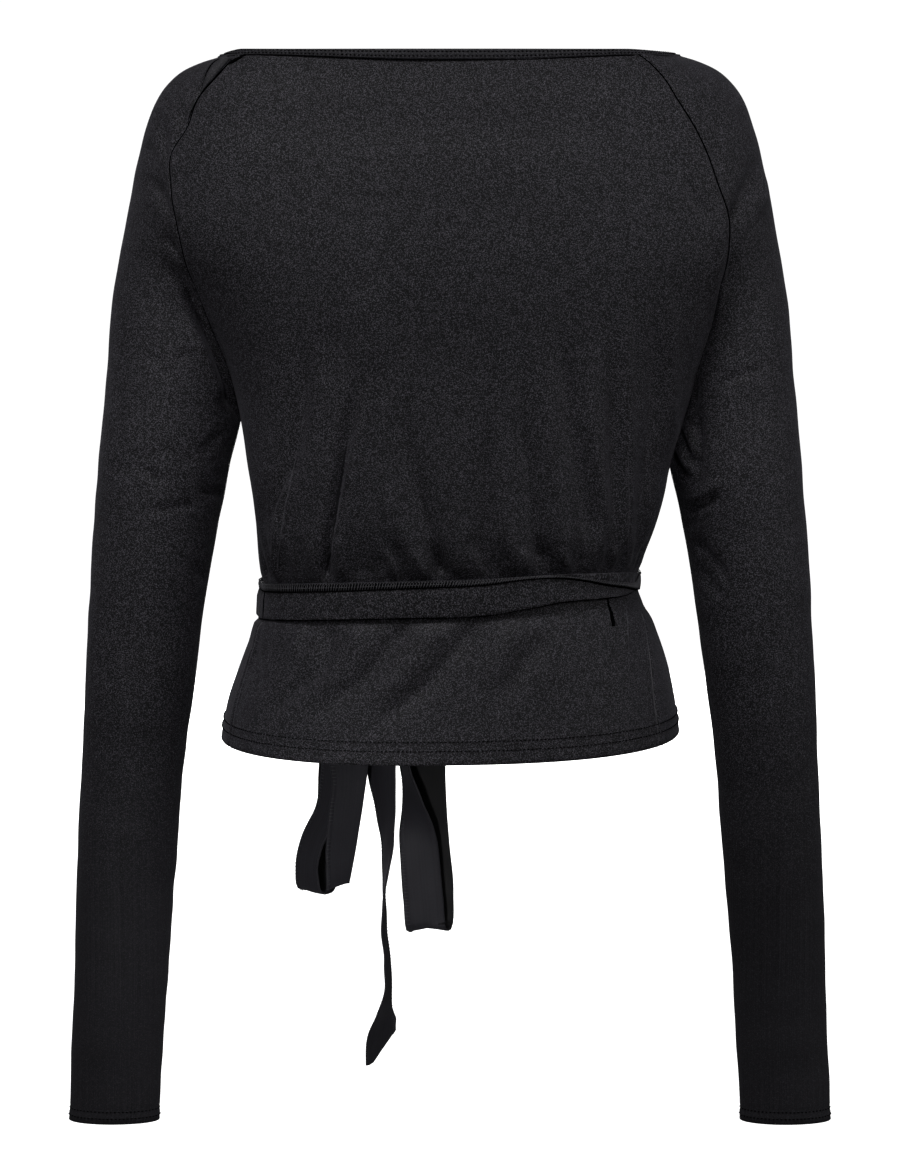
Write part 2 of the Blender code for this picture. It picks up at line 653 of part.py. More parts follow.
def tie_rings(stations, rise, rows):
    """Rings of a tie round the torso. Each station is (angle, top level, bottom level, rest, seam height)."""
    rings = []
    for angle, top, bottom, rest, seam in stations:
        levels = np.linspace(top, bottom, rows)
        line = section(1, angle, levels)
        ahead = section(1, angle + 0.5, levels) - section(1, angle - 0.5, levels)
        out = np.cross(ahead, (0, 0, 1))
        out /= np.linalg.norm(out, axis=1, keepdims=True)
        inner = line + out * rest
        outer = line + out * (rest + TIE_WALL)
        share = np.clip(seam / (top - bottom), 0.02, 0.98)
        step_level = top - (top - bottom) * share
        step = section(1, angle, step_level) + out[1] * (rest + TIE_WALL)
        raised = section(1, angle, step_level) + out[1] * (rest + TIE_WALL + rise)
        rings.append(np.concatenate([inner, [outer[-1], step, raised, outer[0] + out[0] * rise]]))
    return rings


def outer_tie_rings():
    stations = []
    for angle in np.linspace(*OUTER_TIE_SPAN, OUTER_TIE_STATIONS):
        lift, rise, seam = (float(column(OUTER_TIE, OUTER_TIE_COLUMNS, name, angle))
                            for name in OUTER_TIE_COLUMNS[1:])
        over_inner = float(1 - ramp(angle, 151, 162))
        rest = TIE_REST + (TIE_WALL + TIE_REST + TIE_SPARE) * over_inner + WRAP_LIFT * float(ramp(-angle, -7, 8))
        if angle > 180:
            rest += TIE_FRONT_SPARE + float(wrap_lift(-1, section(1, angle, BELT_TOP)[0]))
        stations.append((angle, BELT_TOP + lift, BELT_BOTTOM + rise, rest, seam))
    return tie_rings(stations, TIE_SEAM_RISE, 4)


def inner_tie_rings():
    stations = []
    for angle in np.linspace(*INNER_TIE_SPAN, INNER_TIE_STATIONS):
        dip = INNER_TIE_DIP * float(ramp(-angle, 4, 36) * (1 - ramp(-angle, 48, 66)))
        rest = TIE_REST + TIE_FRONT_SPARE * float(ramp(-angle, 0, 10))
        rest += (WRAP_LIFT + BINDING_RISE + TIE_FRONT_SPARE) * float(ramp(-angle, 24, 36))
        top = BELT_TOP - INNER_TIE_DROP - dip
        bottom = top - INNER_TIE_WIDTH + float(column(OUTER_TIE, OUTER_TIE_COLUMNS, "bottom_rise", angle))
        stations.append((angle, top, bottom, rest, INNER_TIE_SEAM))
    return tie_rings(stations, 0.0, 7)


def resample(table, count):
    """Rows of a table read again at even steps of its path."""
    steps = np.linalg.norm(np.diff(table[:, :3], axis=0), axis=1)
    length = np.concatenate([[0], np.cumsum(steps)])
    slope = np.gradient(table, length, axis=0)
    at = np.linspace(0, length[-1], count)
    i = np.clip(np.searchsorted(length, at) - 1, 0, len(length) - 2)
    step = (length[i + 1] - length[i])[:, None]
    s = (at[:, None] - length[i][:, None]) / step
    return ((2 * s**3 - 3 * s**2 + 1) * table[i] + (s**3 - 2 * s**2 + s) * step * slope[i]
            + (3 * s**2 - 2 * s**3) * table[i + 1] + (s**3 - s**2) * step * slope[i + 1])


def ribbon_rings(table, count, cut):
    """Rings of a flat strip. cut slants its end: how far the side ahead reaches past the middle."""
    rows = resample(table, count)
    path = rows[:, :3]
    along = np.gradient(path, axis=0)
    along /= np.linalg.norm(along, axis=1, keepdims=True)
    turn = np.radians(rows[:, 4])
    across = np.stack([np.cos(turn), np.sin(turn), 0 * turn], -1)
    across -= along * np.einsum("ij,ij->i", across, along)[:, None]
    across /= np.linalg.norm(across, axis=1, keepdims=True)
    out = np.cross(along, across)
    half = rows[:, 3][:, None] / 2
    wall = TIE_WALL / 2
    skew = along * (np.clip(np.arange(4 - count, 4) / 3, 0, 1) * cut)[:, None]
    near, ahead = path - across * half - skew, path + across * half + skew
    return np.stack([near - out * wall, ahead - out * wall, ahead + out * wall, near + out * wall], 1)


def knot_rings():
    """Rounded knot, a strip wrapped once about the crossing."""
    rings = []
    for s in np.linspace(-1, 1, 9):
        swell = math.sqrt(1 - (0.93 * s)**2)
        turns = np.radians(np.arange(0, 360, 30))
        half_x, half_y = (end + more * swell for end, more in zip(KNOT_ENDS, KNOT_SWELL))
        ring = np.stack([half_x * np.sign(np.cos(turns)) * np.abs(np.cos(turns))**0.7,
                         half_y * np.sign(np.sin(turns)) * np.abs(np.sin(turns))**0.7,
                         np.full(turns.shape, KNOT_HEIGHT * s)], -1)
        rings.append(np.array(KNOT_CENTRE) + ring)
    return rings


def cloth_material(name, colour):
    material = bpy.data.materials.new(name)
    material.use_nodes = True
    shader = material.node_tree.nodes["Principled BSDF"]
    shader.inputs["Base Color"].default_value = (*colour, 1)
    shader.inputs["Roughness"].default_value = 0.6
    shader.inputs["Metallic"].default_value = 0.0
    material.diffuse_color = (*colour, 1)
    return material


def add_object(name, points, faces, material, parent):
    faces = [list(map(int, face)) for face in faces]
    if signed_volume(points, faces) < 0:
        faces = [face[::-1] for face in faces]
    mesh = bpy.data.meshes.new(name)
    mesh.from_pydata([tuple(p) for p in points * MM], [], faces)
    mesh.update()
    mesh.shade_smooth()
    mesh.set_sharp_from_angle(angle=math.radians(50))
    mesh.materials.append(material)
    made = bpy.data.objects.new(name, mesh)
    bpy.context.collection.objects.link(made)
    made.parent = parent
    return made


def build():
    for old in list(bpy.data.objects):
        bpy.data.objects.remove(old)
    garment = bpy.data.objects.new("wrap_top", None)
    bpy.context.collection.objects.link(garment)
    jersey = cloth_material("jersey", (0.016, 0.0155, 0.019))
    tie_jersey = cloth_material("tie_jersey", (0.018, 0.017, 0.021))

    back = back_piece()
    fronts = [front_piece(1), front_piece(-1)]
    sleeves = [sleeve_piece(1), sleeve_piece(-1)]
    pieces = [back, *fronts, *sleeves]
    join_normals(pieces)
    back.pull_in(back.index[:, 0], back.index[:, 1])
    back.pull_in(back.index[:, -1], back.index[:, -2])
    for front in fronts:
        front.pull_in(front.index[1:, 0], front.index[1:, 1])
        front.pull_in(front.index[:1, 0], front.index[1:2, 1])
    for sleeve in sleeves:
        rows = slice(0, sleeve.armhole_rows)
        sleeve.pull_in(sleeve.index[rows, 0], sleeve.index[rows, 1])
        sleeve.pull_in(sleeve.index[rows, -1], sleeve.index[rows, -2])
        foot = sleeve.armhole_rows
        sleeve.pull_in(sleeve.index[foot:foot + 1, 0], sleeve.index[foot + 1:foot + 2, 0])
    for piece in pieces:
        inner = piece.outer - piece.normals * WALL
        add_object(piece.name, *wall_mesh(piece, inner), jersey, garment)

    add_object("neck_binding", *strip_mesh(binding_rings()), jersey, garment)
    add_object("waist_tie_outer", *strip_mesh(outer_tie_rings()), tie_jersey, garment)
    add_object("waist_tie_inner", *strip_mesh(inner_tie_rings()), tie_jersey, garment)
    add_object("bow_knot", *strip_mesh(knot_rings()), tie_jersey, garment)
    ribbons = {"bow_loop_left": (LOOP_LEFT, LOOP_STATIONS, 0.0),
               "bow_loop_right": (LOOP_RIGHT, LOOP_STATIONS, 0.0),
               "bow_end_short": (END_SHORT, END_STATIONS["short"], END_CUTS["short"]),
               "bow_end_long": (END_LONG, END_STATIONS["long"], END_CUTS["long"])}
    for name, (table, count, cut) in ribbons.items():
        add_object(name, *strip_mesh(ribbon_rings(table, count, cut)), tie_jersey, garment)


build()
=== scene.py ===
"""Looks of the wrap top: the cloth with its folds, seams, stitches and bow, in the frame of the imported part.

Tables of sections, seams and strips are in millimetres and degrees, as in the part's source. Creases are lines
in the 900 by 1176 frame of the camera, laid on the surface that the camera sees there.
"""
import math

import bpy
import numpy as np
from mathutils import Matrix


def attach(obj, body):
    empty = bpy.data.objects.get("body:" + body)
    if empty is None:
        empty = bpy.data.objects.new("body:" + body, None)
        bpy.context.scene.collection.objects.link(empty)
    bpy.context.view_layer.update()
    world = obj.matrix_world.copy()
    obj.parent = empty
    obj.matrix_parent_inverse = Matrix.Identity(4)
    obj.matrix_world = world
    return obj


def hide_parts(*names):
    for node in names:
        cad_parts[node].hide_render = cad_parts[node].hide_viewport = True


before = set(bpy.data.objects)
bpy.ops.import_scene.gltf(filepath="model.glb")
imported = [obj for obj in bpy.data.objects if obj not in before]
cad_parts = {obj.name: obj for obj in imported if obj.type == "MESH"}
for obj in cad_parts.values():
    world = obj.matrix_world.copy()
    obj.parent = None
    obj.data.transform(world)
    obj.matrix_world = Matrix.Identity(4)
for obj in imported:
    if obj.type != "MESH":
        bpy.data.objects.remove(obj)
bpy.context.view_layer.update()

MM = 0.001

# Driving dimensions, those of the part
BINDING_WIDTH = 6.0
BINDING_RISE = 0.4
FRONT_BINDING = 7.5
WRAP_LIFT = 3.2
BACK_ROUND = 2.4
FRONT_ROUND = 2.2
TIE_WALL = 1.1
TIE_REST = 0.5
TIE_SPARE = 0.3
OUTER_TIE_SPAN = (-46.0, 286.2)
INNER_TIE_SPAN = (146.0, -66.4)
INNER_TIE_WIDTH = 21.5
INNER_TIE_DROP = 0.5
INNER_TIE_DIP = 26.0
KNOT_CENTRE = (42.0, -102.5, -347.0)
KNOT_HEIGHT = 15.0
KNOT_ENDS = (6.0, 3.0)
KNOT_SWELL = (6.4, 4.6)
NECK_DROP = 10.0
ARMPIT = {1: -234.0, -1: -262.0}
BELT_TOP = -334.0
BELT_BOTTOM = -357.0
HEM = -434.0
CUFF = -690.5

# What shows only here
CLOTH = 0.9                             # thickness of the jersey
CLOTH_TOP = -2.2                        # where back and sleeves end under the binding
BINDING_LIFT = 1.0                      # the worn binding stands a little above the back's edge
HEM_ROWS = (7.4, 12.6)
CUFF_ROWS = (3.4, 7.8)
HEM_TURN = (HEM, HEM_ROWS, 15.0, 0.7)   # of a turned hem: edge, rows of stitches, height, extra thickness
CUFF_TURN = (CUFF, CUFF_ROWS, 11.0, 0.6)
LIP_DROP, LIP_THICK = 0.45, 0.5         # of its rounded lip
# Points of the outer tie's section: the seam's edge, middle and foot, the open face, its middle, the lower edge
SEAM_EDGE, SEAM_MIDDLE, SEAM_FOOT, FACE, FACE_MIDDLE, LOWER_EDGE = 1, 3, 5, slice(7, 13), 9, 14
TURN_X = 264.0                          # where the outer tie leaves the layer under it, across the frame
CUT_ROWS = 12                           # rings of a strip that its slanted tip takes in
PITCH, STITCH = 2.6, 1.7                # of the straight stitches
SEAM_WIDTH, RIDGE_AT, RIDGE_WIDTH = 1.2, 2.7, 2.025
CREASE_SPREAD = 1.25
WAVE_COUNT = 14

# The knit: stitches and wales to a metre, the power of the random tone that leaves few stitches pale, the mean of
# that, and how far stitches, wales and broad unevenness shift the middle tone
STITCHES, WALES = 2700.0, 1500.0
STITCH_POWER, STITCH_MEAN = 6.0, 0.143
STITCH_TONE, WALE_TONE, BROAD_TONE, MIDDLE_TONE = 1.4, 0.24, 0.06, 0.17

# The camera of the photograph
EYE = np.array((0.0, 2870.0, 10.5))
TILT = math.radians(7.0)
LENS = 138.3
LONG_SIDE = 36.0
FRAME_WIDTH, FRAME_HEIGHT = 900, 1176
FOCAL = LENS / LONG_SIDE * FRAME_HEIGHT

# Light in watts, places in metres. The air lights the cloth with one strength and shows with another.
AIR_LIGHT, AIR_SEEN = 0.058, 1.05
FLOOR_LEVEL, FLOOR_REACH = -0.76, 6
AREA_LIGHTS = (   # name, place, target, size, power
    ("overhead", (0.1, 1.1, 2.3), (0, 0, -0.2), 1.1, 43),
    ("overhead_left", (1.2, 1.2, 1.8), (0, 0, -0.2), 0.8, 8),
    ("side_left", (2.2, 0.8, 0.4), (0, 0, -0.25), 0.7, 1),
    ("side_right", (-2.2, 0.8, 0.4), (0, 0, -0.25), 0.7, 7.5),
    ("behind", (0, -2.6, -0.36), (0, 0, -0.34), 0.5, 26),
    ("fill_left", (2.2, 1.7, 0.0), (0, 0, -0.3), 0.7, 3.0),
    ("fill_right", (-2.2, 1.7, 0.0), (0, 0, -0.3), 0.7, 3.6),
)
SPOT_LIGHTS = (   # name, place, target, width in degrees, power, softness of its edge
    ("elbow_left", (0.3, 2.0, 0.5), (0.19, 0, -0.28), 11, 44, 1.0),
    ("elbow_right", (-0.3, 2.0, 0.5), (-0.19, 0, -0.26), 11, 36, 1.0),
    ("armpit_left", (1.5, 1.8, -0.4), (0.14, 0.05, -0.175), 6.5, 18, 1.0),
    ("bow", (0.40, 1.7, -0.42), (0.05, -0.1, -0.565), 7.6, 82, 0.4),
)


def table(names, rows):
    """Columns of numbers by name. The first says where each row is."""
    return dict(zip(names.split(), np.array(rows, float).T))


# Torso sections. Half widths are the outline's, to the left and the right of the centre.
TORSO = table("level half_left half_right back front", [
    (0, 148, 148, 68, 63), (-12, 157, 156, 71, 67), (-30, 174, 172.5, 76, 73), (-47, 184, 183.5, 80, 78),
    (-64, 193, 190.5, 85, 82), (-82, 196, 196, 89, 87), (-100, 197, 199, 92, 92), (-125, 186, 193.5, 95.5, 101),
    (-150, 167.5, 180, 97, 109), (-172, 155, 171, 97, 115), (-199, 142.5, 160, 96, 119),
    (-220, 135.5, 153.5, 95, 118.5), (-240, 131.5, 147, 94, 116), (-262, 128.7, 140, 93, 111),
    (-285, 125.2, 135.4, 92, 105), (-305, 123.3, 129.8, 92, 100), (-322, 121.8, 124, 92, 96.5),
    (-330, 120.5, 121.6, 91, 95), (-335, 118.6, 119.6, 89.8, 93.4), (-346, 118.2, 119.8, 89.6, 93),
    (-352, 118.5, 121.4, 89.8, 93.2), (-357, 119.5, 123.6, 90.2, 93.6), (-362, 124.6, 127.4, 92.8, 95),
    (-375, 130, 133.2, 98, 98), (-390, 135.2, 138.4, 103, 101), (-412, 142.4, 143.4, 109, 104.5),
    (-434, 146.3, 146.6, 114, 107),
])

# Angles of the raglan seams, and below the armpits of the side seams.
SEAMS = table("level back_left front_left back_right front_right", [
    (0, 29.5, -31.5, 43.5, -31.5), (-6, 28.5, -34, 39.5, -34), (-14, 27.5, -36.5, 37, -36.5),
    (-30, 27.6, -40, 38, -40), (-47, 29.7, -41, 37, -41), (-64, 28, -40.5, 35.6, -41),
    (-82, 29.8, -39.5, 34.6, -40.5), (-104, 32, -37.5, 31.6, -39), (-125, 28.6, -33, 28.4, -36.5),
    (-142, 23, -28.5, 24.4, -34), (-158, 18.4, -25, 20.3, -31), (-174, 15.2, -21.5, 17.2, -28.5),
    (-190, 13.6, -17.5, 14.6, -26), (-206, 10.8, -12, 12.4, -22.5), (-220, 6.8, -5.5, 10.6, -18),
    (-234, 1.5, 1.5, 8.6, -12), (-248, 3, 3, 5.8, -5), (-262, 5.5, 5.5, 2.5, 2.5), (-284, 9, 9, 8.5, 8.5),
    (-300, 11, 11, 12.5, 12.5), (-330, 13, 13, 14, 14), (-357, 17, 17, 16.5, 16.5), (-375, 17.2, 17.2, 22, 22),
    (-400, 17.8, 17.8, 27, 27), (-434, 19.5, 19.5, 28, 28),
])

# The wrap's free edge: distance across from the centre, positive on the front's own side.
EDGE = table("level across", [
    (0, 128), (-14, 119), (-60, 95), (-100, 68), (-150, 35), (-200, 1), (-250, -32), (-290, -62), (-326, -89),
    (-357, -92), (-390, -98), (-434, -102),
])

# Sleeve sections: the outer line, then the half sizes and the centre.
SLEEVE = table("level out_x out_z half_width half_depth centre_y", [
    (0, 140.3, -2.4, 44, 44, 1), (-6, 146.4, -4.4, 44, 44, 1), (-14, 155.4, -7, 44, 44, 1),
    (-25, 167.6, -12.4, 44, 44, 1), (-38, 177.4, -20.8, 44, 44, 1), (-54, 186.2, -33.6, 44, 44, 1),
    (-72, 192.6, -51.5, 44, 44, 1), (-92, 198.2, -73.6, 44, 44, 1), (-112, 203, -96, 44, 44, 1),
    (-132, 207, -116.4, 44, 44, 1), (-152, 210.7, -137.6, 44, 44, 1), (-172, 213.7, -159, 44, 44, 1),
    (-192, 216.2, -180.6, 44, 44, 1), (-214, 218.8, -204, 43.8, 43.5, 1.5), (-234, 221, -225.6, 43.4, 43, 2),
    (-262, 223.7, -256, 42, 41.5, 3), (-300, 226.7, -298, 39.5, 38.5, 4.5), (-350, 230.2, -350, 37, 35, 6.5),
    (-400, 233.6, -400, 35, 32, 7), (-450, 236.3, -450, 33.3, 29, 5.5), (-505, 239.2, -505, 32.1, 26, 2),
    (-560, 241.9, -560, 31, 23, -2), (-620, 244.6, -620, 30, 20, -5.5), (-664, 246.8, -664, 29.5, 17.5, -7),
    (-690.5, 248, -690.5, 29.6, 16.5, -7),
])

# The cloth's lines rise at the back and fall to the left about the waist.
SLANT = table("level back_rise fall_left", [
    (-262, 0, 0), (-300, 2.5, 0.008), (-330, 8, 0.026), (-357, 8, 0.026), (-395, 0, 0.016), (-434, -4, 0.013),
])

# Soft folds of the hidden fronts: depth, half width, then three points of a curve, to the right and up.
FRONT_FOLDS = (
    (-2.2, 12, 70, -150, 10, -235, -62, -326), (-2.4, 12, 100, -190, 40, -268, -38, -328),
    (-2.2, 11, 112, -240, 66, -296, 4, -330), (1.6, 12, 86, -168, 24, -252, -50, -327),
    (1.6, 12, 108, -215, 54, -284, -18, -329), (-1.8, 11, 60, -422, 10, -386, -14, -360),
    (-1.8, 11, -10, -424, -42, -388, -56, -360),
)

# The outer tie: its lower edge rises and its overlocked seam folds over where it turns on the right of the back.
OUTER_TIE = table("angle lift bottom_rise seam", [
    (-46, 0, 0.3, 4.5), (82, 0, 0.3, 4.5), (96, 0, 0.4, 3.8), (109, 1.3, 3.8, 2), (122, 2, 7.4, 2.4),
    (130, 2, 8, 4.5), (138, 1.8, 8.5, 7), (152, 1.4, 9.8, 9.6), (165, 0.6, 12.2, 11), (176, 0, 13.6, 11),
    (205, 0, 12.6, 10), (250, 0, 0, 4.5), (287, 0, 0, 4.5),
])

# The bow's pieces, from the knot down: x, y, z, width and face, which turns the strip about the upright, 0 across and
# 90 edge-on. Worn, the right loop and the long end hang a little otherwise than in the part.
LOOP_LEFT = np.array([
    (61.2, -101, -350, 13, 0), (68, -110, -372, 19, -6), (73, -121, -420, 25, -10), (75, -128, -475, 27, -15),
    (79, -132, -520, 27, -30), (84, -133, -548, 27, -42), (88.5, -130, -563, 27, -48), (93, -126, -563, 27, -50),
    (95.5, -122.5, -549, 27, -50), (92, -120.5, -530, 27, -50), (81, -119, -506, 27, -46),
    (75, -117.5, -475, 26, -34), (71, -115, -440, 24, -20), (65, -111.5, -405, 20, -6), (60, -107, -378, 15, 0),
    (58.2, -104, -360, 11, 0),
], float)
LOOP_RIGHT = np.array([
    (24, -102, -350, 13, 0), (12, -111, -372, 19, 8), (12, -121, -420, 25, 10), (16, -126, -475, 27, -12),
    (14, -127, -525, 27, -12), (11, -126, -565, 27, -4), (12.5, -123, -586, 27, 0), (15, -118, -587, 27, 2),
    (18, -114.5, -566, 27, 4), (21, -113.5, -530, 26, -6), (25, -114.5, -500, 24, -35), (29, -117, -472, 20, -66),
    (28.5, -116, -440, 16, -55), (27, -110, -400, 13, -25), (27, -104.5, -360, 9, 0),
], float)
END_SHORT = np.array([
    (47, -100.2, -363.4, 7, 0), (56, -103.2, -400, 17, 0), (64, -106.3, -440, 24, 0), (68, -106.5, -475, 27, 6),
    (72, -106.5, -505, 27, 12), (75, -107, -530, 26, 20), (77, -107, -556, 22, 34),
], float)
END_LONG = np.array([
    (40, -104.5, -363.4, 10, 0), (43, -110, -400, 18, -8), (46, -114, -445, 25, -24), (46.5, -114.5, -473, 27, -40),
    (44, -114, -500, 27, -56), (42, -113, -524, 27, -70), (43, -112.5, -551, 27, -88),
    (43.8, -112.5, -578, 27, -92), (41.5, -112.5, -605, 27, -92), (40.5, -112.5, -624, 27, -97),
    (42, -112.5, -640, 27, -113), (43.5, -112.5, -652, 27, -126), (44, -112.5, -666, 27, -130),
], float)
LOOP_RIGHT_WORN = LOOP_RIGHT.copy()
LOOP_RIGHT_WORN[10:12] += (0, 0, 0, 0, -19), (1.5, 0, 0, 0, -6)
END_LONG_WORN = END_LONG.copy()
END_LONG_WORN[6:] += [
    (0.3, 0, 0, 0, 3.5), (0.9, 0, 0, 0, -2.5), (1.0, 0, -1, 0, -4.5), (1.4, 0, -3, 0, -2.5), (2.2, 0, -4, 0, 0),
    (2.6, 0, -4, 0, -6), (2.6, 0, -4, 0, -6),
]
STRIP_TRIM = {   # narrower along the gap between them: mm off the half width, z from and to, shift in x a mm
    "bow_end_short_cloth": (2.2, 468, 490, -1.0), "bow_loop_left_cloth": (1.5, 488, 505, 0.7),
}

# Sections of strips: share of the width or half width, and height above the cloth or the middle
STRIP_PROFILE = (
    (-1, 0), (-0.985, 0.42), (-0.93, 0.68), (-0.8, 0.66), (-0.5, 0.62), (-0.2, 0.64), (0.1, 0.62), (0.4, 0.64),
    (0.66, 0.62), (0.72, 0.55), (0.78, 0.95), (0.93, 0.95), (0.99, 0.5), (1, 0), (0.99, -0.5), (0.93, -0.95),
    (0.78, -0.95), (0.72, -0.55), (0.66, -0.62), (0.4, -0.64), (0.1, -0.62), (-0.2, -0.64), (-0.5, -0.62),
    (-0.8, -0.66), (-0.93, -0.68), (-0.985, -0.42),
)
BINDING_PROFILE = (
    (1.06, 0.05), (1, 0.42), (0.88, 0.66), (0.74, 0.4), (0.6, 0.68), (0.42, 0.68), (0.28, 0.4), (0.16, 0.62),
    (0.06, 0.5), (0, 0.15), (-0.05, -0.45), (0, -1.1), (0.12, -1.45), (0.5, -1.5), (0.9, -1.4), (1, -1),
)
INNER_PROFILE = (
    (0.0, 0.6), (0.02, TIE_WALL - 0.2), (0.1, TIE_WALL), (0.3, TIE_WALL + 0.1), (0.5, TIE_WALL + 0.1),
    (0.7, TIE_WALL + 0.1), (0.9, TIE_WALL), (0.98, TIE_WALL - 0.2), (1.0, 0.6), (0.97, 0.1), (0.7, 0.0), (0.5, 0.0),
    (0.3, 0.0), (0.03, 0.1),
)

# Creases: depth, half width in pixels, fade at the start and at the end, then the line's places in the frame
BACK_CREASES = [
    (-1.3, 2.4, 0.3, 0, 291, 470, 279, 506, 276, 545, 271, 580),
    (1.2, 2, 0.2, 0, 296, 470, 284, 508, 281, 545, 276, 580),
    (-1.6, 2.4, 0.2, 0, 347, 455, 339, 495, 332, 535, 324, 579),
    (1.3, 2.2, 0.2, 0, 352, 455, 344, 495, 337, 535, 329, 579),
    (-1.5, 3, 0.4, 0, 596, 500, 604, 545, 603, 578),
    (1.3, 2.6, 0.4, 0, 606, 540, 612, 556, 609, 578),
    (1.3, 3, 0.4, 0, 381, 548, 391, 560, 396, 580),
    (1.3, 3, 0.4, 0, 410, 548, 419, 562, 424, 580),
    (-1.2, 4, 0.4, 0, 432, 545, 440, 560, 446, 580),
    (1.4, 3.5, 0.4, 0, 466, 545, 476, 560, 480, 578),
    (1.3, 3, 0.4, 0, 518, 548, 526, 560, 531, 575),
    (1.1, 3, 0.4, 0, 556, 545, 563, 560, 572, 575),
    (-2.2, 7, 0.35, 0.1, 295, 312, 301, 351, 303, 376, 302, 404, 299, 437, 295, 458, 286, 487),
    (1.7, 5, 0.3, 0, 286, 498, 281, 544, 276, 567, 277, 580),
    (-1.5, 6, 0.4, 0, 272, 490, 266, 540, 268, 580),
    (-2.3, 5.5, 0.2, 0, 355, 385, 351, 420, 345, 452, 341, 481, 337, 510, 332, 538, 327, 578),
    (1.5, 5, 0.25, 0, 367, 385, 363, 420, 357, 452, 353, 481, 349, 510, 344, 538, 339, 578),
    (-0.9, 16, 0.3, 0.3, 332, 320, 333, 350, 332, 390),
    (1.4, 12, 0.3, 0.3, 362, 280, 370, 328, 362, 385),
    (1.6, 8, 0.35, 0, 387, 470, 393, 510, 412, 557, 420, 578),
    (1, 4, 0.4, 0, 391, 556, 394, 580),
    (-1.5, 8, 0.4, 0, 360, 520, 366, 556, 370, 580),
    (-0.8, 5, 0.3, 0.3, 395, 541, 399, 566),
    (-2.3, 6, 0.3, 0, 407, 385, 408, 439, 416, 481, 427, 519, 433, 548, 443, 576),
    (1.7, 7, 0.3, 0, 450, 400, 450, 490, 451, 519, 456, 560, 459, 578),
    (1.2, 5, 0.4, 0, 472, 553, 473, 580),
    (-1.9, 6, 0.3, 0.2, 484, 433, 486, 471, 486, 500, 482, 560),
    (1.6, 7, 0.3, 0, 505, 460, 505, 529, 520, 567, 524, 580),
    (-2.1, 5.5, 0.3, 0.1, 520, 404, 524, 439, 530, 471, 532, 510, 535, 544, 547, 562),
    (1.9, 9, 0.3, 0, 536, 318, 541, 366, 545, 414, 549, 452, 553, 490, 555, 519, 564, 575),
    (-2.2, 7, 0.3, 0.1, 560, 327, 568, 385, 572, 433, 580, 481, 589, 545),
    (1.7, 7, 0.3, 0, 589, 346, 591, 414, 595, 462, 601, 500, 603, 560),
    (-2.1, 5, 0.3, 0, 612, 356, 612, 423, 609, 548, 608, 575),
    (1.5, 5, 0.3, 0, 621, 270, 626, 337, 627, 414, 628, 471, 627, 529, 626, 575),
    (-1.9, 7, 0.3, 0.1, 653, 305, 652, 414, 637, 500, 635, 560),
    (1.2, 6, 0.3, 0.2, 665, 280, 671, 328, 671, 366, 670, 404, 669, 455),
    (-1.3, 5, 0.4, 0.2, 678, 172, 696, 201, 713, 217),
    (1, 5, 0.3, 0.3, 717, 205, 719, 250, 714, 285, 706, 310),
    (1.2, 3.5, 0.1, 0.4, 307, 616, 289, 665),
    (-1.9, 6, 0, 0.35, 329, 622, 325, 661, 307, 679, 280, 701, 266, 722),
    (-2.2, 7, 0, 0.35, 409, 618, 387, 651, 366, 676, 339, 697, 305, 717),
    (-2.2, 7, 0, 0.35, 480, 614, 458, 647, 450, 656, 429, 683, 396, 710, 373, 736),
    (1.5, 8, 0, 0.4, 440, 620, 420, 655, 396, 684, 366, 712),
    (1.2, 8, 0, 0.4, 360, 622, 350, 655, 330, 684, 300, 706),
    (-1.3, 9, 0.3, 0.4, 554, 634, 529, 658, 511, 683, 492, 714),
    (1, 9, 0.3, 0.4, 530, 624, 505, 655, 486, 690),
    (-0.8, 4, 0.3, 0.3, 252, 722, 273, 734),
    (-1, 4, 0.3, 0.3, 254, 636, 259, 698),
    (0.9, 3, 0, 0.4, 626, 602, 629, 652),
]
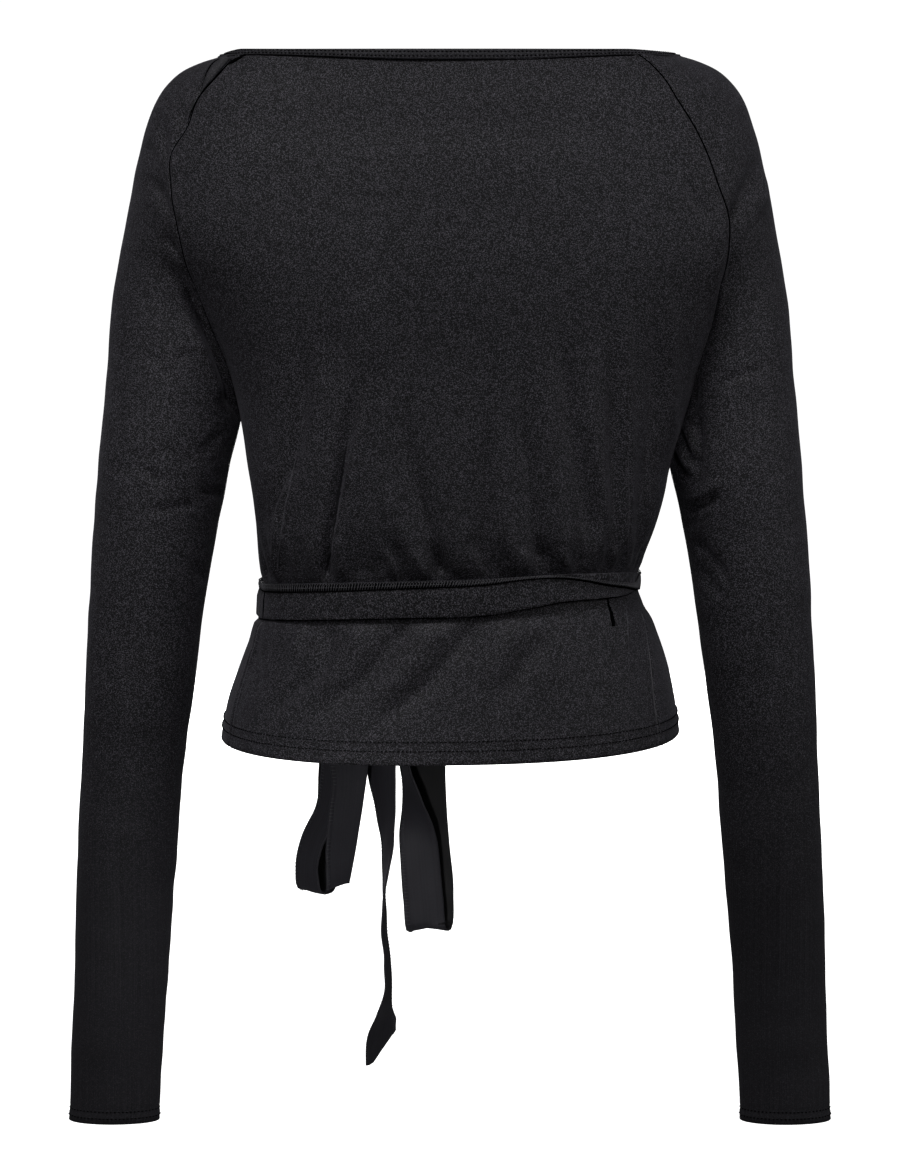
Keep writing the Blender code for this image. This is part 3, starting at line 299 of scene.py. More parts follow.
SLEEVE_CREASES = [
    (-1.5, 2.6, 0, 0.2, 233, 56, 222, 70, 208, 85, 199, 97),
    (1.2, 3.2, 0.1, 0.2, 226, 55, 217, 63, 209, 72, 204, 84),
    (-1.3, 4, 0.4, 0.1, 159, 106, 163, 133, 164, 147, 169, 163),
    (-0.9, 5, 0.4, 0.4, 183, 108, 186, 130),
    (-2.8, 7.5, 0.35, 0.1, 190, 285, 199, 300, 215, 340, 230, 378, 240, 410),
    (1.9, 7, 0.4, 0.2, 184, 310, 193, 331, 203, 353, 215, 382, 224, 402),
    (-0.9, 5, 0.4, 0.2, 143, 141, 157, 168),
    (-1.3, 5, 0.4, 0.1, 140, 168, 158, 188, 167, 206, 173, 213),
    (-1.1, 4, 0.4, 0.1, 161, 235, 180, 254),
    (-1.5, 5, 0.4, 0.1, 161, 261, 179, 281, 197, 300),
    (-0.6, 2.6, 0.3, 0.3, 140, 360, 170, 360),
    (-0.6, 2.6, 0.3, 0.3, 174, 364, 193, 350),
    (-0.5, 2.6, 0.3, 0.3, 156, 374, 174, 370),
    (-0.6, 2.6, 0.3, 0.3, 127, 457, 154, 454),
    (-0.5, 2.6, 0.3, 0.3, 160, 451, 188, 451),
    (-0.9, 3, 0.3, 0.2, 197, 455, 225, 430),
    (-0.5, 2.6, 0.3, 0.3, 176, 466, 195, 458),
    (-0.5, 2.6, 0.3, 0.3, 113, 469, 140, 466),
    (-0.7, 2.6, 0.3, 0.3, 136, 466, 168, 483),
    (-1.2, 3, 0.4, 0.1, 196, 492, 223, 493),
    (-0.8, 3, 0.4, 0.3, 140, 512, 175, 508, 205, 501),
    (-0.5, 2.6, 0.3, 0.3, 213, 479, 227, 472),
    (-0.7, 3, 0.4, 0.3, 187, 563, 207, 580),
    (-1.9, 5, 0.2, 0.2, 737, 203, 734, 227, 731, 254, 726, 290),
    (-1.1, 4, 0.3, 0.2, 713, 140, 717, 175),
    (-0.7, 4, 0.4, 0.4, 719, 121, 723, 134),
    (-1.5, 6, 0.4, 0.1, 759, 150, 752, 176, 741, 204, 733, 222),
    (1.1, 6, 0.4, 0.3, 771, 160, 764, 190, 752, 220),
    (-1.8, 5, 0.3, 0.3, 693, 375, 691, 397, 691, 418),
    (1.5, 4, 0.3, 0.3, 674, 427, 688, 477),
    (-1.5, 3.2, 0.2, 0.3, 670, 449, 690, 483),
    (-1.5, 3.2, 0.3, 0.3, 678, 422, 694, 469),
    (1.3, 3.2, 0.3, 0.3, 682, 418, 696, 463),
    (-1.7, 4, 0.3, 0.3, 697, 408, 699, 490),
    (1.1, 4, 0.2, 0.4, 690, 504, 724, 479),
    (-1.3, 4, 0.2, 0.4, 684, 514, 724, 493),
    (-0.9, 4, 0.3, 0.4, 685, 526, 700, 520),
    (-1.1, 5, 0.3, 0.4, 689, 532, 734, 589),
    (-1, 5, 0.3, 0.4, 697, 562, 724, 605),
    (-0.5, 2.6, 0.3, 0.3, 707, 376, 724, 370),
    (-0.7, 3, 0.3, 0.4, 713, 387, 742, 375, 775, 364),
]

# The rolled seam of the left shoulder, and lines of painted shade along its gap and edge: place in the frame, half
# width or radius in mm
ROLL = np.array([
    (243, 56.2, 0.6), (236, 57.6, 1.1), (229, 59.3, 2), (222.5, 62.8, 3.2), (216, 69.2, 3.3), (210.8, 76.2, 2.8),
    (206.2, 83.4, 1.8), (202.5, 89.5, 0.7),
], float)
ROLL_GAP = np.array([
    (246, 54.8, 0.3), (240, 57.6, 0.9), (233, 61.8, 1.15), (227, 65.6, 0.8), (220, 72.2, 0.5), (213, 79.2, 0.42),
    (207, 85.6, 0.36), (202, 91.2, 0.34), (197, 99, 0.32), (193.4, 105.8, 0.4), (190.2, 114, 0.38),
    (187.5, 124, 0.2),
], float)
ROLL_EDGE = np.array([
    (219.5, 58.4, 0.2), (212.6, 64.4, 0.35), (208.6, 70, 0.4), (206.2, 76.4, 0.35), (204, 83, 0.3),
    (201.6, 90, 0.15),
], float)
# Painted highlights: bright cords along the crests of the sharpest folds.
FOLD_HIGHLIGHTS = (   # radius in mm, line in the frame
    (0.42, ((297, 450), (289, 490), (284.5, 512), (280, 543), (276, 578))),
    (0.26, ((349, 440), (345, 465), (341, 490), (336, 525), (331, 556), (326, 578))),
    (0.30, ((628, 452), (629, 500), (628, 540), (628, 572))),
    (0.30, ((654, 515), (648, 545), (642, 570))),
    (0.28, ((626, 603), (628, 630), (629, 655))),
)


# ---- Curves ----

def hermite(s, step, start, end, leaving, arriving):
    """Smooth curve from one value to the next, with the slopes at both."""
    return ((2 * s**3 - 3 * s**2 + 1) * start + (s**3 - 2 * s**2 + s) * step * leaving
            + (3 * s**2 - 2 * s**3) * end + (s**3 - s**2) * step * arriving)


def curve_through(known, values, at):
    """Smooth curve through values, or rows of values, known at rising places."""
    slope = np.gradient(values, known, axis=0)
    i = np.clip(np.searchsorted(known, at) - 1, 0, len(known) - 2)
    step = known[i + 1] - known[i]
    s = (at - known[i]) / step
    if values.ndim > 1:
        s, step = s[:, None], step[:, None]
    return hermite(s, step, values[i], values[i + 1], slope[i], slope[i + 1])


def column(rows, name, at):
    """Smooth curve through one column of a table."""
    places = next(iter(rows.values()))
    order = np.argsort(places)
    known = places[order]
    return curve_through(known, rows[name][order], np.clip(np.asarray(at, float), known[0], known[-1]))


def path_lengths(points):
    """Length of the way to each point of a line, or along each row of a grid."""
    steps = np.linalg.norm(np.diff(points, axis=-2), axis=-1)
    return np.concatenate([np.zeros(steps.shape[:-1] + (1,)), np.cumsum(steps, -1)], -1)


def edge_distance(grid):
    """Distance of each point from the nearer end of its row."""
    lengths = path_lengths(grid)
    return np.minimum(lengths, lengths[:, -1:] - lengths)


def at_lengths(points, lengths, at):
    return np.stack([np.interp(at, lengths, points[:, k]) for k in range(points.shape[1])], -1)


def resample(rows, count):
    """Rows of numbers read again at even steps of the path that their first three make."""
    lengths = path_lengths(rows[:, :3])
    return curve_through(lengths, rows, np.linspace(0, lengths[-1], count))


def evened(points, passes, weight=1.0):
    """Points evened out along their first axis, as far as the weight says."""
    points = points.copy()
    share = np.broadcast_to(weight, points.shape[:-1])[1:-1, ..., None] * 0.25
    for _ in range(passes):
        points[1:-1] += (points[:-2] + points[2:] - 2 * points[1:-1]) * share
    return points


def ramp(value, start, end):
    """0 up to the start, 1 from the end on, and smooth between them."""
    s = np.clip((np.asarray(value, float) - start) / (end - start), 0, 1)
    return s * s * (3 - 2 * s)


def plateau(value, rise, risen, fall, fallen):
    return ramp(value, rise, risen) * (1 - ramp(value, fall, fallen))


def bell(value, centre, width):
    return np.exp(-((value - centre) / width)**2)


def nearest_on(line, x, y):
    """How far each place is from a line of points, and which share of the line lies before its nearest point."""
    nearest, along = np.full(x.shape, 1e9), np.zeros(x.shape)
    count = len(line) - 1
    for k, ((start_x, start_y), (run_x, run_y)) in enumerate(zip(line[:-1], np.diff(line, axis=0))):
        t = np.clip(((x - start_x) * run_x + (y - start_y) * run_y) / (run_x**2 + run_y**2), 0, 1)
        away = np.hypot(x - start_x - t * run_x, y - start_y - t * run_y)
        along = np.where(away < nearest, (k + t) / count, along)
        nearest = np.minimum(away, nearest)
    return nearest, along


# ---- The part's surfaces ----

def section(side, angle, level):
    """Point of the torso's outer surface; angle runs from one side (1 left, -1 right) towards the back."""
    angle, level = np.broadcast_arrays(np.asarray(angle, float), np.asarray(level, float))
    cos, sin = np.cos(np.radians(angle)), np.sin(np.radians(angle))
    half = np.where(cos * side >= 0, column(TORSO, "half_left", level), column(TORSO, "half_right", level))
    depth = np.where(sin >= 0, column(TORSO, "back", level), -column(TORSO, "front", level))
    power = np.where(sin >= 0, 2 / BACK_ROUND, 2 / FRONT_ROUND)
    x = side * np.sign(cos) * half * np.abs(cos) ** power
    y = depth * np.abs(sin) ** power
    rise = column(SLANT, "back_rise", level) * np.clip(sin, 0, 1)
    fall = column(SLANT, "fall_left", level) * x
    drop = NECK_DROP * np.clip(1 + level / 70, 0, 1) * ramp(-sin, -0.2, 0.5)
    return np.stack([x, y, level + rise - fall - drop], -1)


def seam_angle(side, face, level):
    """Angle of the raglan seam behind or in front, or of the side seam, which both faces share."""
    hand = "left" if side > 0 else "right"
    back, front = (column(SEAMS, f"{half}_{hand}", level) for half in ("back", "front"))
    return back if face == "back" else np.where(np.asarray(level) <= ARMPIT[side], back, front)


def back_point(u, level):
    """Point of the back; u runs from its left seam (0) to its right seam (1)."""
    left, right = (seam_angle(side, "back", level) for side in (1, -1))
    return section(1, left + (180 - right - left) * u, level)


def edge_angle(side, level, inset=0.0):
    """Angle of a front's free edge, or of a line inside it."""
    across = column(EDGE, "across", level) + inset
    own, other = (column(TORSO, name, level) for name in ("half_left", "half_right")[::side])
    share = np.clip(np.abs(across) / np.where(across >= 0, own, other), 0, 1) ** (FRONT_ROUND / 2)
    turn = np.degrees(np.arccos(share))
    return np.where(across >= 0, -turn, turn - 180)


def front_folds(points):
    """Height of the soft folds over each point, seen square on. Each fades out at its free end."""
    height = np.zeros(points.shape[:-1])
    s = np.linspace(0, 1, 15)[:, None]
    for depth, half_width, *ends in FRONT_FOLDS:
        first, middle, last = np.reshape(ends, (3, 2))
        line = (1 - s)**2 * first + 2 * s * (1 - s) * middle + s**2 * last
        nearest, along = nearest_on(line, -points[..., 0], points[..., 2])
        height += depth * bell(nearest, 0, half_width) * ramp(along, 0.0, 0.75)
    return height


def belt_hold(level):
    """1 where the cloth is free to fold, 0 where the tie presses it flat."""
    return 1 - plateau(level, BELT_BOTTOM - 9, BELT_BOTTOM - 1, BELT_TOP + 1, BELT_TOP + 8)


def clear_of_edges(points, levels):
    """1 where a front is free to fold, 0 along the two bindings, which lie flat over and under it."""
    across = column(EDGE, "across", levels)
    return ramp(np.abs(points[..., 0] - across), 8, 26) * ramp(np.abs(points[..., 0] + across), 8, 26)


def wrap_lift(side, x):
    """How far a front lies out (the right one) or in (the left one) so that the two can cross."""
    share = ramp(x, -100, 70)
    return WRAP_LIFT * share if side < 0 else -WRAP_LIFT * (1 - share)


def front_surface(side, angle, level):
    """Point of a front, with the level lift, square to the torso's outline, that lets the two cross."""
    point = section(side, angle, level)
    ahead = section(side, angle + 0.5, level) - section(side, angle - 0.5, level)
    out = np.stack([ahead[..., 1], -ahead[..., 0], 0 * ahead[..., 2]], -1) * side
    return point + unit(out) * wrap_lift(side, point[..., 0])[..., None]


def sleeve_point(side, t, level):
    """Point of a sleeve; t runs from the front seam (-1) over the outer arm (0) to the back seam (1)."""
    t, level = np.broadcast_arrays(np.asarray(t, float), np.asarray(level, float))

    def oval(at):
        half_width = column(SLEEVE, "half_width", at)
        return (half_width, column(SLEEVE, "half_depth", at), column(SLEEVE, "out_x", at) - half_width,
                column(SLEEVE, "centre_y", at))

    half_width, half_depth, centre_x, centre_y = oval(level)
    held = np.maximum(level, ARMPIT[side])
    held_width, held_depth, held_x, held_y = oval(held)
    under_arm = ARMPIT[side] - level
    faces = []
    for face, closed in (("back", 180), ("front", -180)):
        seam = section(side, seam_angle(side, face, held), held)
        away_x = (seam[..., 0] * side - held_x) / held_width
        away_y = (seam[..., 1] - held_y) / held_depth
        turn = np.degrees(np.arctan2(away_y, away_x))
        if face == "front":
            turn = np.where(turn > 90, turn - 360, turn)
        faces.append((turn + (closed - turn) * ramp(under_arm, 0, 60),
                      1 + (np.hypot(away_x, away_y) - 1) * (1 - ramp(under_arm, 0, 30)),
                      np.where(under_arm <= 0, seam[..., 2], level)))
    turn, reach, end = (np.where(t >= 0, behind, before) for behind, before in zip(*faces))
    share = np.abs(t)
    turn = np.radians(turn * share)
    stretch = 1 + (reach - 1) * share**2.5
    x = centre_x + half_width * np.cos(turn) * stretch
    y = centre_y + half_depth * np.sin(turn) * stretch
    out_z = column(SLEEVE, "out_z", level)
    return np.stack([side * x, y, out_z + (end - out_z) * share**1.6], -1)


# ---- What the camera sees ----

def unit(vectors):
    return vectors / np.maximum(np.linalg.norm(vectors, axis=-1, keepdims=True), 1e-9)


def to_frame(points):
    """Where the camera shows points, in pixels of its 900 by 1176 frame."""
    away = points - EYE
    ahead = -away[..., 1] * math.cos(TILT) - away[..., 2] * math.sin(TILT)
    up = -away[..., 1] * math.sin(TILT) + away[..., 2] * math.cos(TILT)
    return FRAME_WIDTH / 2 - FOCAL * away[..., 0] / ahead, FRAME_HEIGHT / 2 - FOCAL * up / ahead


def facing(points, normals):
    """1 where a surface faces the camera squarely, 0 where it is turned away."""
    return ramp(np.einsum("...i,...i->...", normals, unit(EYE - points)), 0.02, 0.4)


def smooth_line(line, steps=6):
    """Points of a smooth curve through a line's points."""
    line = np.asarray(line, float)
    slope = np.gradient(line, axis=0)
    s = np.linspace(0, 1, steps, endpoint=False)[:, None]
    parts = [hermite(s, 1, *ends) for ends in zip(line[:-1], line[1:], slope[:-1], slope[1:])]
    return np.concatenate(parts + [line[-1:]])


def raise_creases(points, normals, creases, scale=1.0):
    """Height in millimetres of the creases over each point that the camera sees."""
    px, py = to_frame(points)
    height = np.zeros(px.shape)
    for depth, width, start, end, *line in creases:
        width = width * CREASE_SPREAD
        curve = smooth_line(np.reshape(line, (-1, 2)))
        (left, top), (right, bottom) = curve.min(0) - 3 * width, curve.max(0) + 3 * width
        inside = (px > left) & (px < right) & (py > top) & (py < bottom)
        nearest, along = nearest_on(curve, px[inside], py[inside])
        fade = ramp(along, -0.05, start) * ramp(1 - along, -0.05, end)
        height[inside] += depth * bell(nearest, 0, width) * fade
    return height * facing(points, normals) * scale


def waves(points, size, seed, stretch=(1, 1, 1)):
    """Soft irregular field of about unit height, with features of the given size."""
    rng = np.random.default_rng(seed)
    total = np.zeros(points.shape[:-1])
    for _ in range(WAVE_COUNT):
        way = rng.normal(size=3)
        way = way / np.linalg.norm(way) * np.array(stretch)
        total += np.sin(points @ way * (2 * math.pi / size) * rng.uniform(0.7, 1.5) + rng.uniform(0, 6.3))
    return total / math.sqrt(WAVE_COUNT)


def surface_normals(points, outward=None):
    normal = unit(np.cross(np.gradient(points, axis=0), np.gradient(points, axis=1)))
    if outward is not None:
        normal *= np.sign(np.einsum("...i,...i->...", normal, outward))[..., None]
    return normal


# ---- Meshes ----

def link(obj):
    bpy.context.scene.collection.objects.link(obj)
    return obj


def new_mesh(name, points, faces, uvs, material, smooth_angle=60):
    mesh = bpy.data.meshes.new(name)
    mesh.from_pydata((np.asarray(points) * MM).tolist(), [], faces)
    if uvs is not None:
        layer = mesh.uv_layers.new(name="UVMap")
        layer.data.foreach_set("uv", np.asarray(uvs, np.float32).ravel())
    mesh.shade_smooth()
    mesh.set_sharp_from_angle(angle=math.radians(smooth_angle))
    mesh.materials.append(material)
    mesh.validate()
    return link(bpy.data.objects.new(name, mesh))


def cloth(name, grid, normals, thick, material, closed_from=None):
    """Cloth wall from a grid of outer points. Rows from closed_from down join into a tube."""
    rows, columns = grid.shape[:2]
    total = rows * columns
    index = np.arange(total).reshape(rows, columns)
    if closed_from is not None:
        index[closed_from:, -1] = index[closed_from:, 0]
    points = np.concatenate([grid.reshape(-1, 3), (grid - normals * thick[..., None]).reshape(-1, 3)])
    across = path_lengths(grid)
    down = np.linalg.norm(np.diff(grid, axis=0), axis=-1).mean(1)
    down = np.broadcast_to(np.concatenate([[0], np.cumsum(down)])[:, None], across.shape)
    uv = np.stack([across - across[:, [columns // 2]], -down], -1) * MM
    quads, quad_uv = (np.stack([part[:-1, :-1], part[1:, :-1], part[1:, 1:], part[:-1, 1:]], 2)
                      for part in (index, uv))
    quads, quad_uv = quads.reshape(-1, 4), quad_uv.reshape(-1, 4, 2)
    corner, down_from, across_from = points[quads[:, 0]], points[quads[:, 1]], points[quads[:, 2]]
    outer_way = np.cross(down_from - corner, across_from - corner)
    if np.einsum("ij,ij", outer_way, normals.reshape(-1, 3)[quads[:, 0]]) < 0:
        quads, quad_uv = quads[:, ::-1], quad_uv[:, ::-1]
    edges = {edge for quad in quads.tolist() for edge in zip(quad, quad[1:] + quad[:1])}
    p, q = np.array(sorted((p, q) for p, q in edges if (q, p) not in edges)).T
    faces = np.concatenate([quads, quads[:, ::-1] + total, np.stack([q, p, p + total, q + total], -1)])
    uvs = np.concatenate([quad_uv, quad_uv[:, ::-1], uv.reshape(-1, 2)[np.stack([q, p, p, q], -1)]])
    used, faces = np.unique(faces, return_inverse=True)
    return new_mesh(name, points[used], faces.reshape(-1, 4).tolist(), uvs, material)


def ring_faces(count, around):
    """Faces through a number of closed rings of points. The two caps come last."""
    k, j = np.indices((count - 1, around))
    n = (j + 1) % around
    sides = np.stack([k * around + j, k * around + n, (k + 1) * around + n, (k + 1) * around + j], -1)
    first, last = range(around), range((count - 1) * around, count * around)
    return sides.reshape(-1, 4).tolist() + [list(first)[::-1], list(last)]


def band(name, rings, material):
    """Solid through equal closed rings of points, capped at its ends."""
    rings = np.asarray(rings, float)
    count, around = rings.shape[:2]
    faces = ring_faces(count, around)
    middle = rings[count // 2]
    uv = np.stack(np.meshgrid(path_lengths(np.concatenate([middle, middle[:1]])), path_lengths(rings.mean(1))), -1)
    uvs = np.stack([uv[:-1, :-1], uv[:-1, 1:], uv[1:, 1:], uv[1:, :-1]], 2).reshape(-1, 4, 2) * MM
    points = rings.reshape(-1, 3)
    p, q, r, s = np.moveaxis(points[np.array(faces[:-2])], 1, 0)
    if np.einsum("ij,ij", p, np.cross(q, r) + np.cross(r, s)) < 0:
        faces, uvs = [face[::-1] for face in faces], uvs[:, ::-1]
    uvs = np.concatenate([uvs.reshape(-1, 2), np.zeros((2 * around, 2))])
    return new_mesh(name, points, faces, uvs, material)


def cord(name, path, out, radius, material, flat=0.7):
    """Slim round line along a path."""
    along = unit(np.gradient(path, axis=0))
    across = unit(np.cross(along, out))
    up = np.cross(across, along)
    turn = np.linspace(0, 2 * math.pi, 8, endpoint=False)[None, :, None]
    radius = np.broadcast_to(radius, len(path))[:, None, None]
    return band(name, path[:, None] + (across[:, None] * np.cos(turn) + up[:, None] * np.sin(turn) * flat) * radius,
                material)


def threads(name, starts, ends, normals, radius, material, arch=0.25):
    """Short lengths of thread that lie on the cloth, each sunk at its two ends."""
    sides = 5
    share = np.array((0.0, 0.18, 0.5, 0.82, 1.0))[:, None]
    rise = np.array((-0.9, 0.3, 1.0, 0.3, -0.9))[:, None] * arch
    fat = np.array((0.35, 0.9, 1.0, 0.9, 0.35))[:, None, None] * radius
    turn = (np.arange(sides) * 2 * math.pi / sides)[:, None]
    run = ends - starts
    way = unit(run)
    across = unit(np.cross(way, normals))
    up = np.cross(across, way)
    centre = starts[:, None] + run[:, None] * share + up[:, None] * rise
    ring = across[:, None] * np.cos(turn) + up[:, None] * np.sin(turn)
    points = centre[:, :, None] + ring[:, None] * fat
    one = ring_faces(len(share), sides)
    step = len(share) * sides
    faces = [[v + first for v in face] for first in range(0, step * len(starts), step) for face in one]
    return new_mesh(name, points.reshape(-1, 3), faces, None, material, 80)


def stitch_line(points, normals, pitch, length, start=0.0):
    """Starts, ends and normals of stitches along a line."""
    lengths = path_lengths(points)
    at = np.arange(start, lengths[-1] - length, pitch)
    return (at_lengths(points, lengths, at), at_lengths(points, lengths, at + length),
            unit(at_lengths(normals, lengths, at + length / 2)))


# ---- Materials ----

def node_tools(tree):
    """Ways to fill a node's inputs with values or links, and to add a node with its inputs and settings."""
    def fill(node, inputs):
        for key, value in inputs.items():
            if isinstance(value, bpy.types.NodeSocket):
                tree.links.new(value, node.inputs[key])
            else:
                node.inputs[key].default_value = value
        return node

    def add(kind, inputs=(), **settings):
        node = tree.nodes.new("ShaderNode" + kind)
        for key, value in settings.items():
            setattr(node, key, value)
        return fill(node, dict(inputs)).outputs

    return fill, add


def new_material(name):
    """A material, with its shader and the tools for its nodes."""
    material = bpy.data.materials.new(name)
    material.use_nodes = True
    return (material, material.node_tree.nodes["Principled BSDF"], *node_tools(material.node_tree))


def jersey_material(name, dark, light, grain=1.0, fade=None):
    """Fine knit: a random tone to each stitch, upright wales and broad unevenness over a dark charcoal.

    A fade is two heights in metres and the share of the grain that is left below the first. The fade is painted
    light: it weakens the grain lower down, where less light falls.
    """
    material, shader, fill, add = new_material(name)
    fill(shader, {"Roughness": 0.66, "Specular IOR Level": 0.22, "Sheen Weight": 0.06, "Sheen Roughness": 0.45,
                  "Sheen Tint": (0.78, 0.76, 0.88, 1)})
    coordinates = add("TexCoord")

    def stretched(*scale):
        return add("Mapping", {"Scale": scale, "Vector": coordinates["UV"]})["Vector"]

    def noise(*scale):
        return add("TexNoise", {"Scale": 1.0, "Detail": 2.0, "Vector": stretched(*scale)})["Fac"]

    def maths(operation, *values):
        return add("Math", enumerate(values), operation=operation)[0]

    cells = add("TexVoronoi", {"Scale": 1.0, "Vector": stretched(STITCHES, STITCHES, 1)}, voronoi_dimensions="2D")
    parts = add("SeparateColor", {"Color": cells["Color"]})
    stitch = maths("SUBTRACT", maths("POWER", parts["Red"], STITCH_POWER), STITCH_MEAN)
    stitch = maths("MULTIPLY", stitch, STITCH_TONE * grain)
    if fade:
        low, high, left = fade
        height = add("SeparateXYZ", {"Vector": coordinates["Object"]})["Z"]
        dying = add("MapRange", {"From Min": low, "From Max": high, "To Min": left, "Value": height})
        stitch = maths("MULTIPLY", stitch, dying["Result"])
    wales = noise(WALES, WALES * 0.004, 1)
    broad = noise(14, 9, 1)
    tone = maths("MULTIPLY_ADD", maths("SUBTRACT", wales, 0.5), WALE_TONE, MIDDLE_TONE)
    tone = maths("ADD", tone, maths("MULTIPLY", maths("SUBTRACT", broad, 0.5), BROAD_TONE))
    tone = maths("ADD", tone, stitch)
    colour = add("Mix", {"A": (*dark, 1), "B": (*light, 1), "Factor": tone}, data_type="RGBA")
    height = maths("ADD", wales, maths("MULTIPLY", stitch, 0.5))
    bump = add("Bump", {"Strength": 0.4, "Distance": 0.0003, "Height": height})
    fill(shader, {"Base Color": colour["Result"], "Normal": bump["Normal"]})
    return material


def thread_material(name, colour, shine=0.4):
    material, shader, fill, add = new_material(name)
    spots = add("TexNoise", {"Scale": 900.0, "Vector": add("TexCoord")["Object"]})
    mixed = add("Mix", {"A": (*[c * 0.7 for c in colour], 1), "B": (*[c * 1.3 for c in colour], 1),
                        "Factor": spots["Fac"]}, data_type="RGBA")
    fill(shader, {"Roughness": 0.6, "Specular IOR Level": shine, "Base Color": mixed["Result"]})
    return material


DARK, LIGHT = (0.0028, 0.0026, 0.0034), (0.0980, 0.0935, 0.1120)
JERSEY = jersey_material("jersey_cloth", DARK, LIGHT, grain=1.3, fade=(-0.36, -0.12, 0.76))
SLEEVE_JERSEY = jersey_material("sleeve_cloth", DARK, LIGHT, grain=1.15, fade=(-0.55, -0.36, 0.18))
TIE_JERSEY = jersey_material("tie_cloth", DARK, (0.1150, 0.1100, 0.1300))
BOW_JERSEY = jersey_material("bow_cloth", (0.0100, 0.0096, 0.0120), (0.0700, 0.0680, 0.0840), grain=0.07)
# Painted shade: a darker copy of the bow's cloth for the loops' insides.
SHADED_JERSEY = jersey_material("bow_inside_painted_shade", (0.0016, 0.0015, 0.0019), (0.0140, 0.0135, 0.0165), grain=0.07)
# Painted highlight: pale cloth for the cords on fold crests.
CREST_HIGHLIGHT = jersey_material("crest_highlight", DARK, (0.2500, 0.2400, 0.2800), grain=0.3)
BINDING_JERSEY = jersey_material("binding_cloth", DARK, LIGHT, grain=0.5)
ROLL_JERSEY = jersey_material("rolled_cloth", DARK, (0.1250, 0.1200, 0.1400), grain=0.3)
THREAD = thread_material("sewing_thread", (0.0030, 0.0029, 0.0034), 0.03)
EDGE_THREAD = thread_material("edge_thread", (0.030, 0.029, 0.034))
# Pale overlock thread; the same cords along the side seams are a painted highlight.
BRIGHT_THREAD = thread_material("overlock_thread_and_ridge_highlight", (0.085, 0.083, 0.092))
# Near-black cords and bands laid along seams and gaps: painted shadow where shade falls.
PAINTED_GAP_SHADE = thread_material("gap_shadow", (0.0012, 0.0012, 0.0014), 0.0)
FOLD_SHADE = thread_material("fold_shade", (0.0095, 0.0090, 0.0108), 0.1)
# Painted shade: the dark face of the overlocked seam under its loops.
SEAM_SHADE = thread_material("overlocked_seam_shade", (0.0050, 0.0049, 0.0058), 0.05)

made = {}   # by name, the grids and lines of finished pieces, for what is laid on them


# ---- Body cloth ----

def hem_relief(above, rows, fold):
    """Thickness of a turned and twice stitched hem, by the distance above its edge."""
    return 0.30 * (1 - ramp(above, fold - 2.2, fold)) - 0.6 * sum(bell(above, row, 0.8) for row in rows)


def seam_groove(distance, depth=0.95, ridge=0.4):
    """A sewn seam: the cloth dips at the line and its allowance lifts it beside the line."""
    return ridge * bell(distance, RIDGE_AT, RIDGE_WIDTH) - depth * bell(distance, 0, SEAM_WIDTH)


def flare(points, levels):
    """The cloth springs out at the sides from under the tie's lower edge."""
    right = 1.0 * bell(levels, -353.0, 7.0) * ramp(-points[..., 0], 88, 117)
    left = 1.6 * bell(levels, -361.0, 4.0) * ramp(points[..., 0], 88, 115)
    return right + left


def hemmed_cloth(name, base, normals, height, levels, turned, look, material, closed_from=None):
    """Cloth with folds on a smooth base and a turned hem that ends in a round lip. look gives a grid's normals."""
    edge, rows, fold, extra = turned
    above = levels - edge
    grid = base + normals * (height + hem_relief(above, rows, fold))[..., None]
    shown = look(grid)
    thick = CLOTH + extra * (1 - ramp(above, fold - 2, fold))
    made[name] = (grid, shown, levels)
    lip = grid[-1] + unit(grid[-1] - grid[-3]) * LIP_DROP - shown[-1] * LIP_THICK
    return cloth(name, np.concatenate([grid, lip[None]]), np.concatenate([shown, shown[-1:]]),
                 np.concatenate([thick, np.full_like(thick[-1:], LIP_THICK)]), material, closed_from)


def body_cloth(name, base, height, levels):
    outward = base * (1, 1, 0)
    return hemmed_cloth(name, base, surface_normals(base, outward), height, levels, HEM_TURN,
                        lambda grid: surface_normals(grid, outward), JERSEY)


def back_cloth():
    levels = np.linspace(CLOTH_TOP, HEM, 158)[:, None]
    base = back_point(np.linspace(0, 1, 307), levels)
    levels = np.broadcast_to(levels, base.shape[:2])
    normals = surface_normals(base, base * (1, 1, 0))
    nearest = edge_distance(base)
    height = raise_creases(base, normals, BACK_CREASES, 1.5)
    height += 1.3 * waves(base, 15.0, 3, stretch=(1, 1, 0.12)) * plateau(levels - BELT_TOP, -2, 3, 12, 46)
    height += 0.5 * waves(base, 19.0, 5, stretch=(1, 1, 0.12)) * plateau(BELT_BOTTOM - levels, -1, 4, 8, 34)
    height += 4.2 * plateau(levels, BELT_TOP, -298, -290, -170) * facing(base, normals)
    height += 0.35 * waves(base, 120.0, 7)
    held = belt_hold(levels)
    height = height * held * ramp(nearest, 0, 7) + seam_groove(nearest) * held + flare(base, levels)
    return body_cloth("back_cloth", base, height, levels)


def front_cloth(side):
    levels = np.linspace(0.4 - BINDING_WIDTH, HEM, 150)[:, None]
    seam = seam_angle(side, "front", levels)
    edge = np.minimum(edge_angle(side, levels, FRONT_BINDING - 1.2), seam)
    angle = seam + (edge - seam) * np.linspace(0, 1, 121)
    levels = np.broadcast_to(levels, angle.shape)
    base = front_surface(side, angle, levels)
    base[:, 0] = section(side, angle, levels)[:, 0]
    normals = surface_normals(base, base * (1, 1, 0))
    from_seam = path_lengths(base)
    held, clear = belt_hold(levels), clear_of_edges(base, levels)
    height = (front_folds(base) + 0.35 * waves(base, 110.0, 11)) * clear * ramp(from_seam, 0, 8)
    height += raise_creases(base, normals, BACK_CREASES) * ramp(from_seam, 0, 4)
    height += seam_groove(from_seam) * ramp(-levels, 12, 30)
    name = "front_outer_cloth" if side < 0 else "front_inner_cloth"
    return body_cloth(name, base, height * held + flare(base, levels), levels)


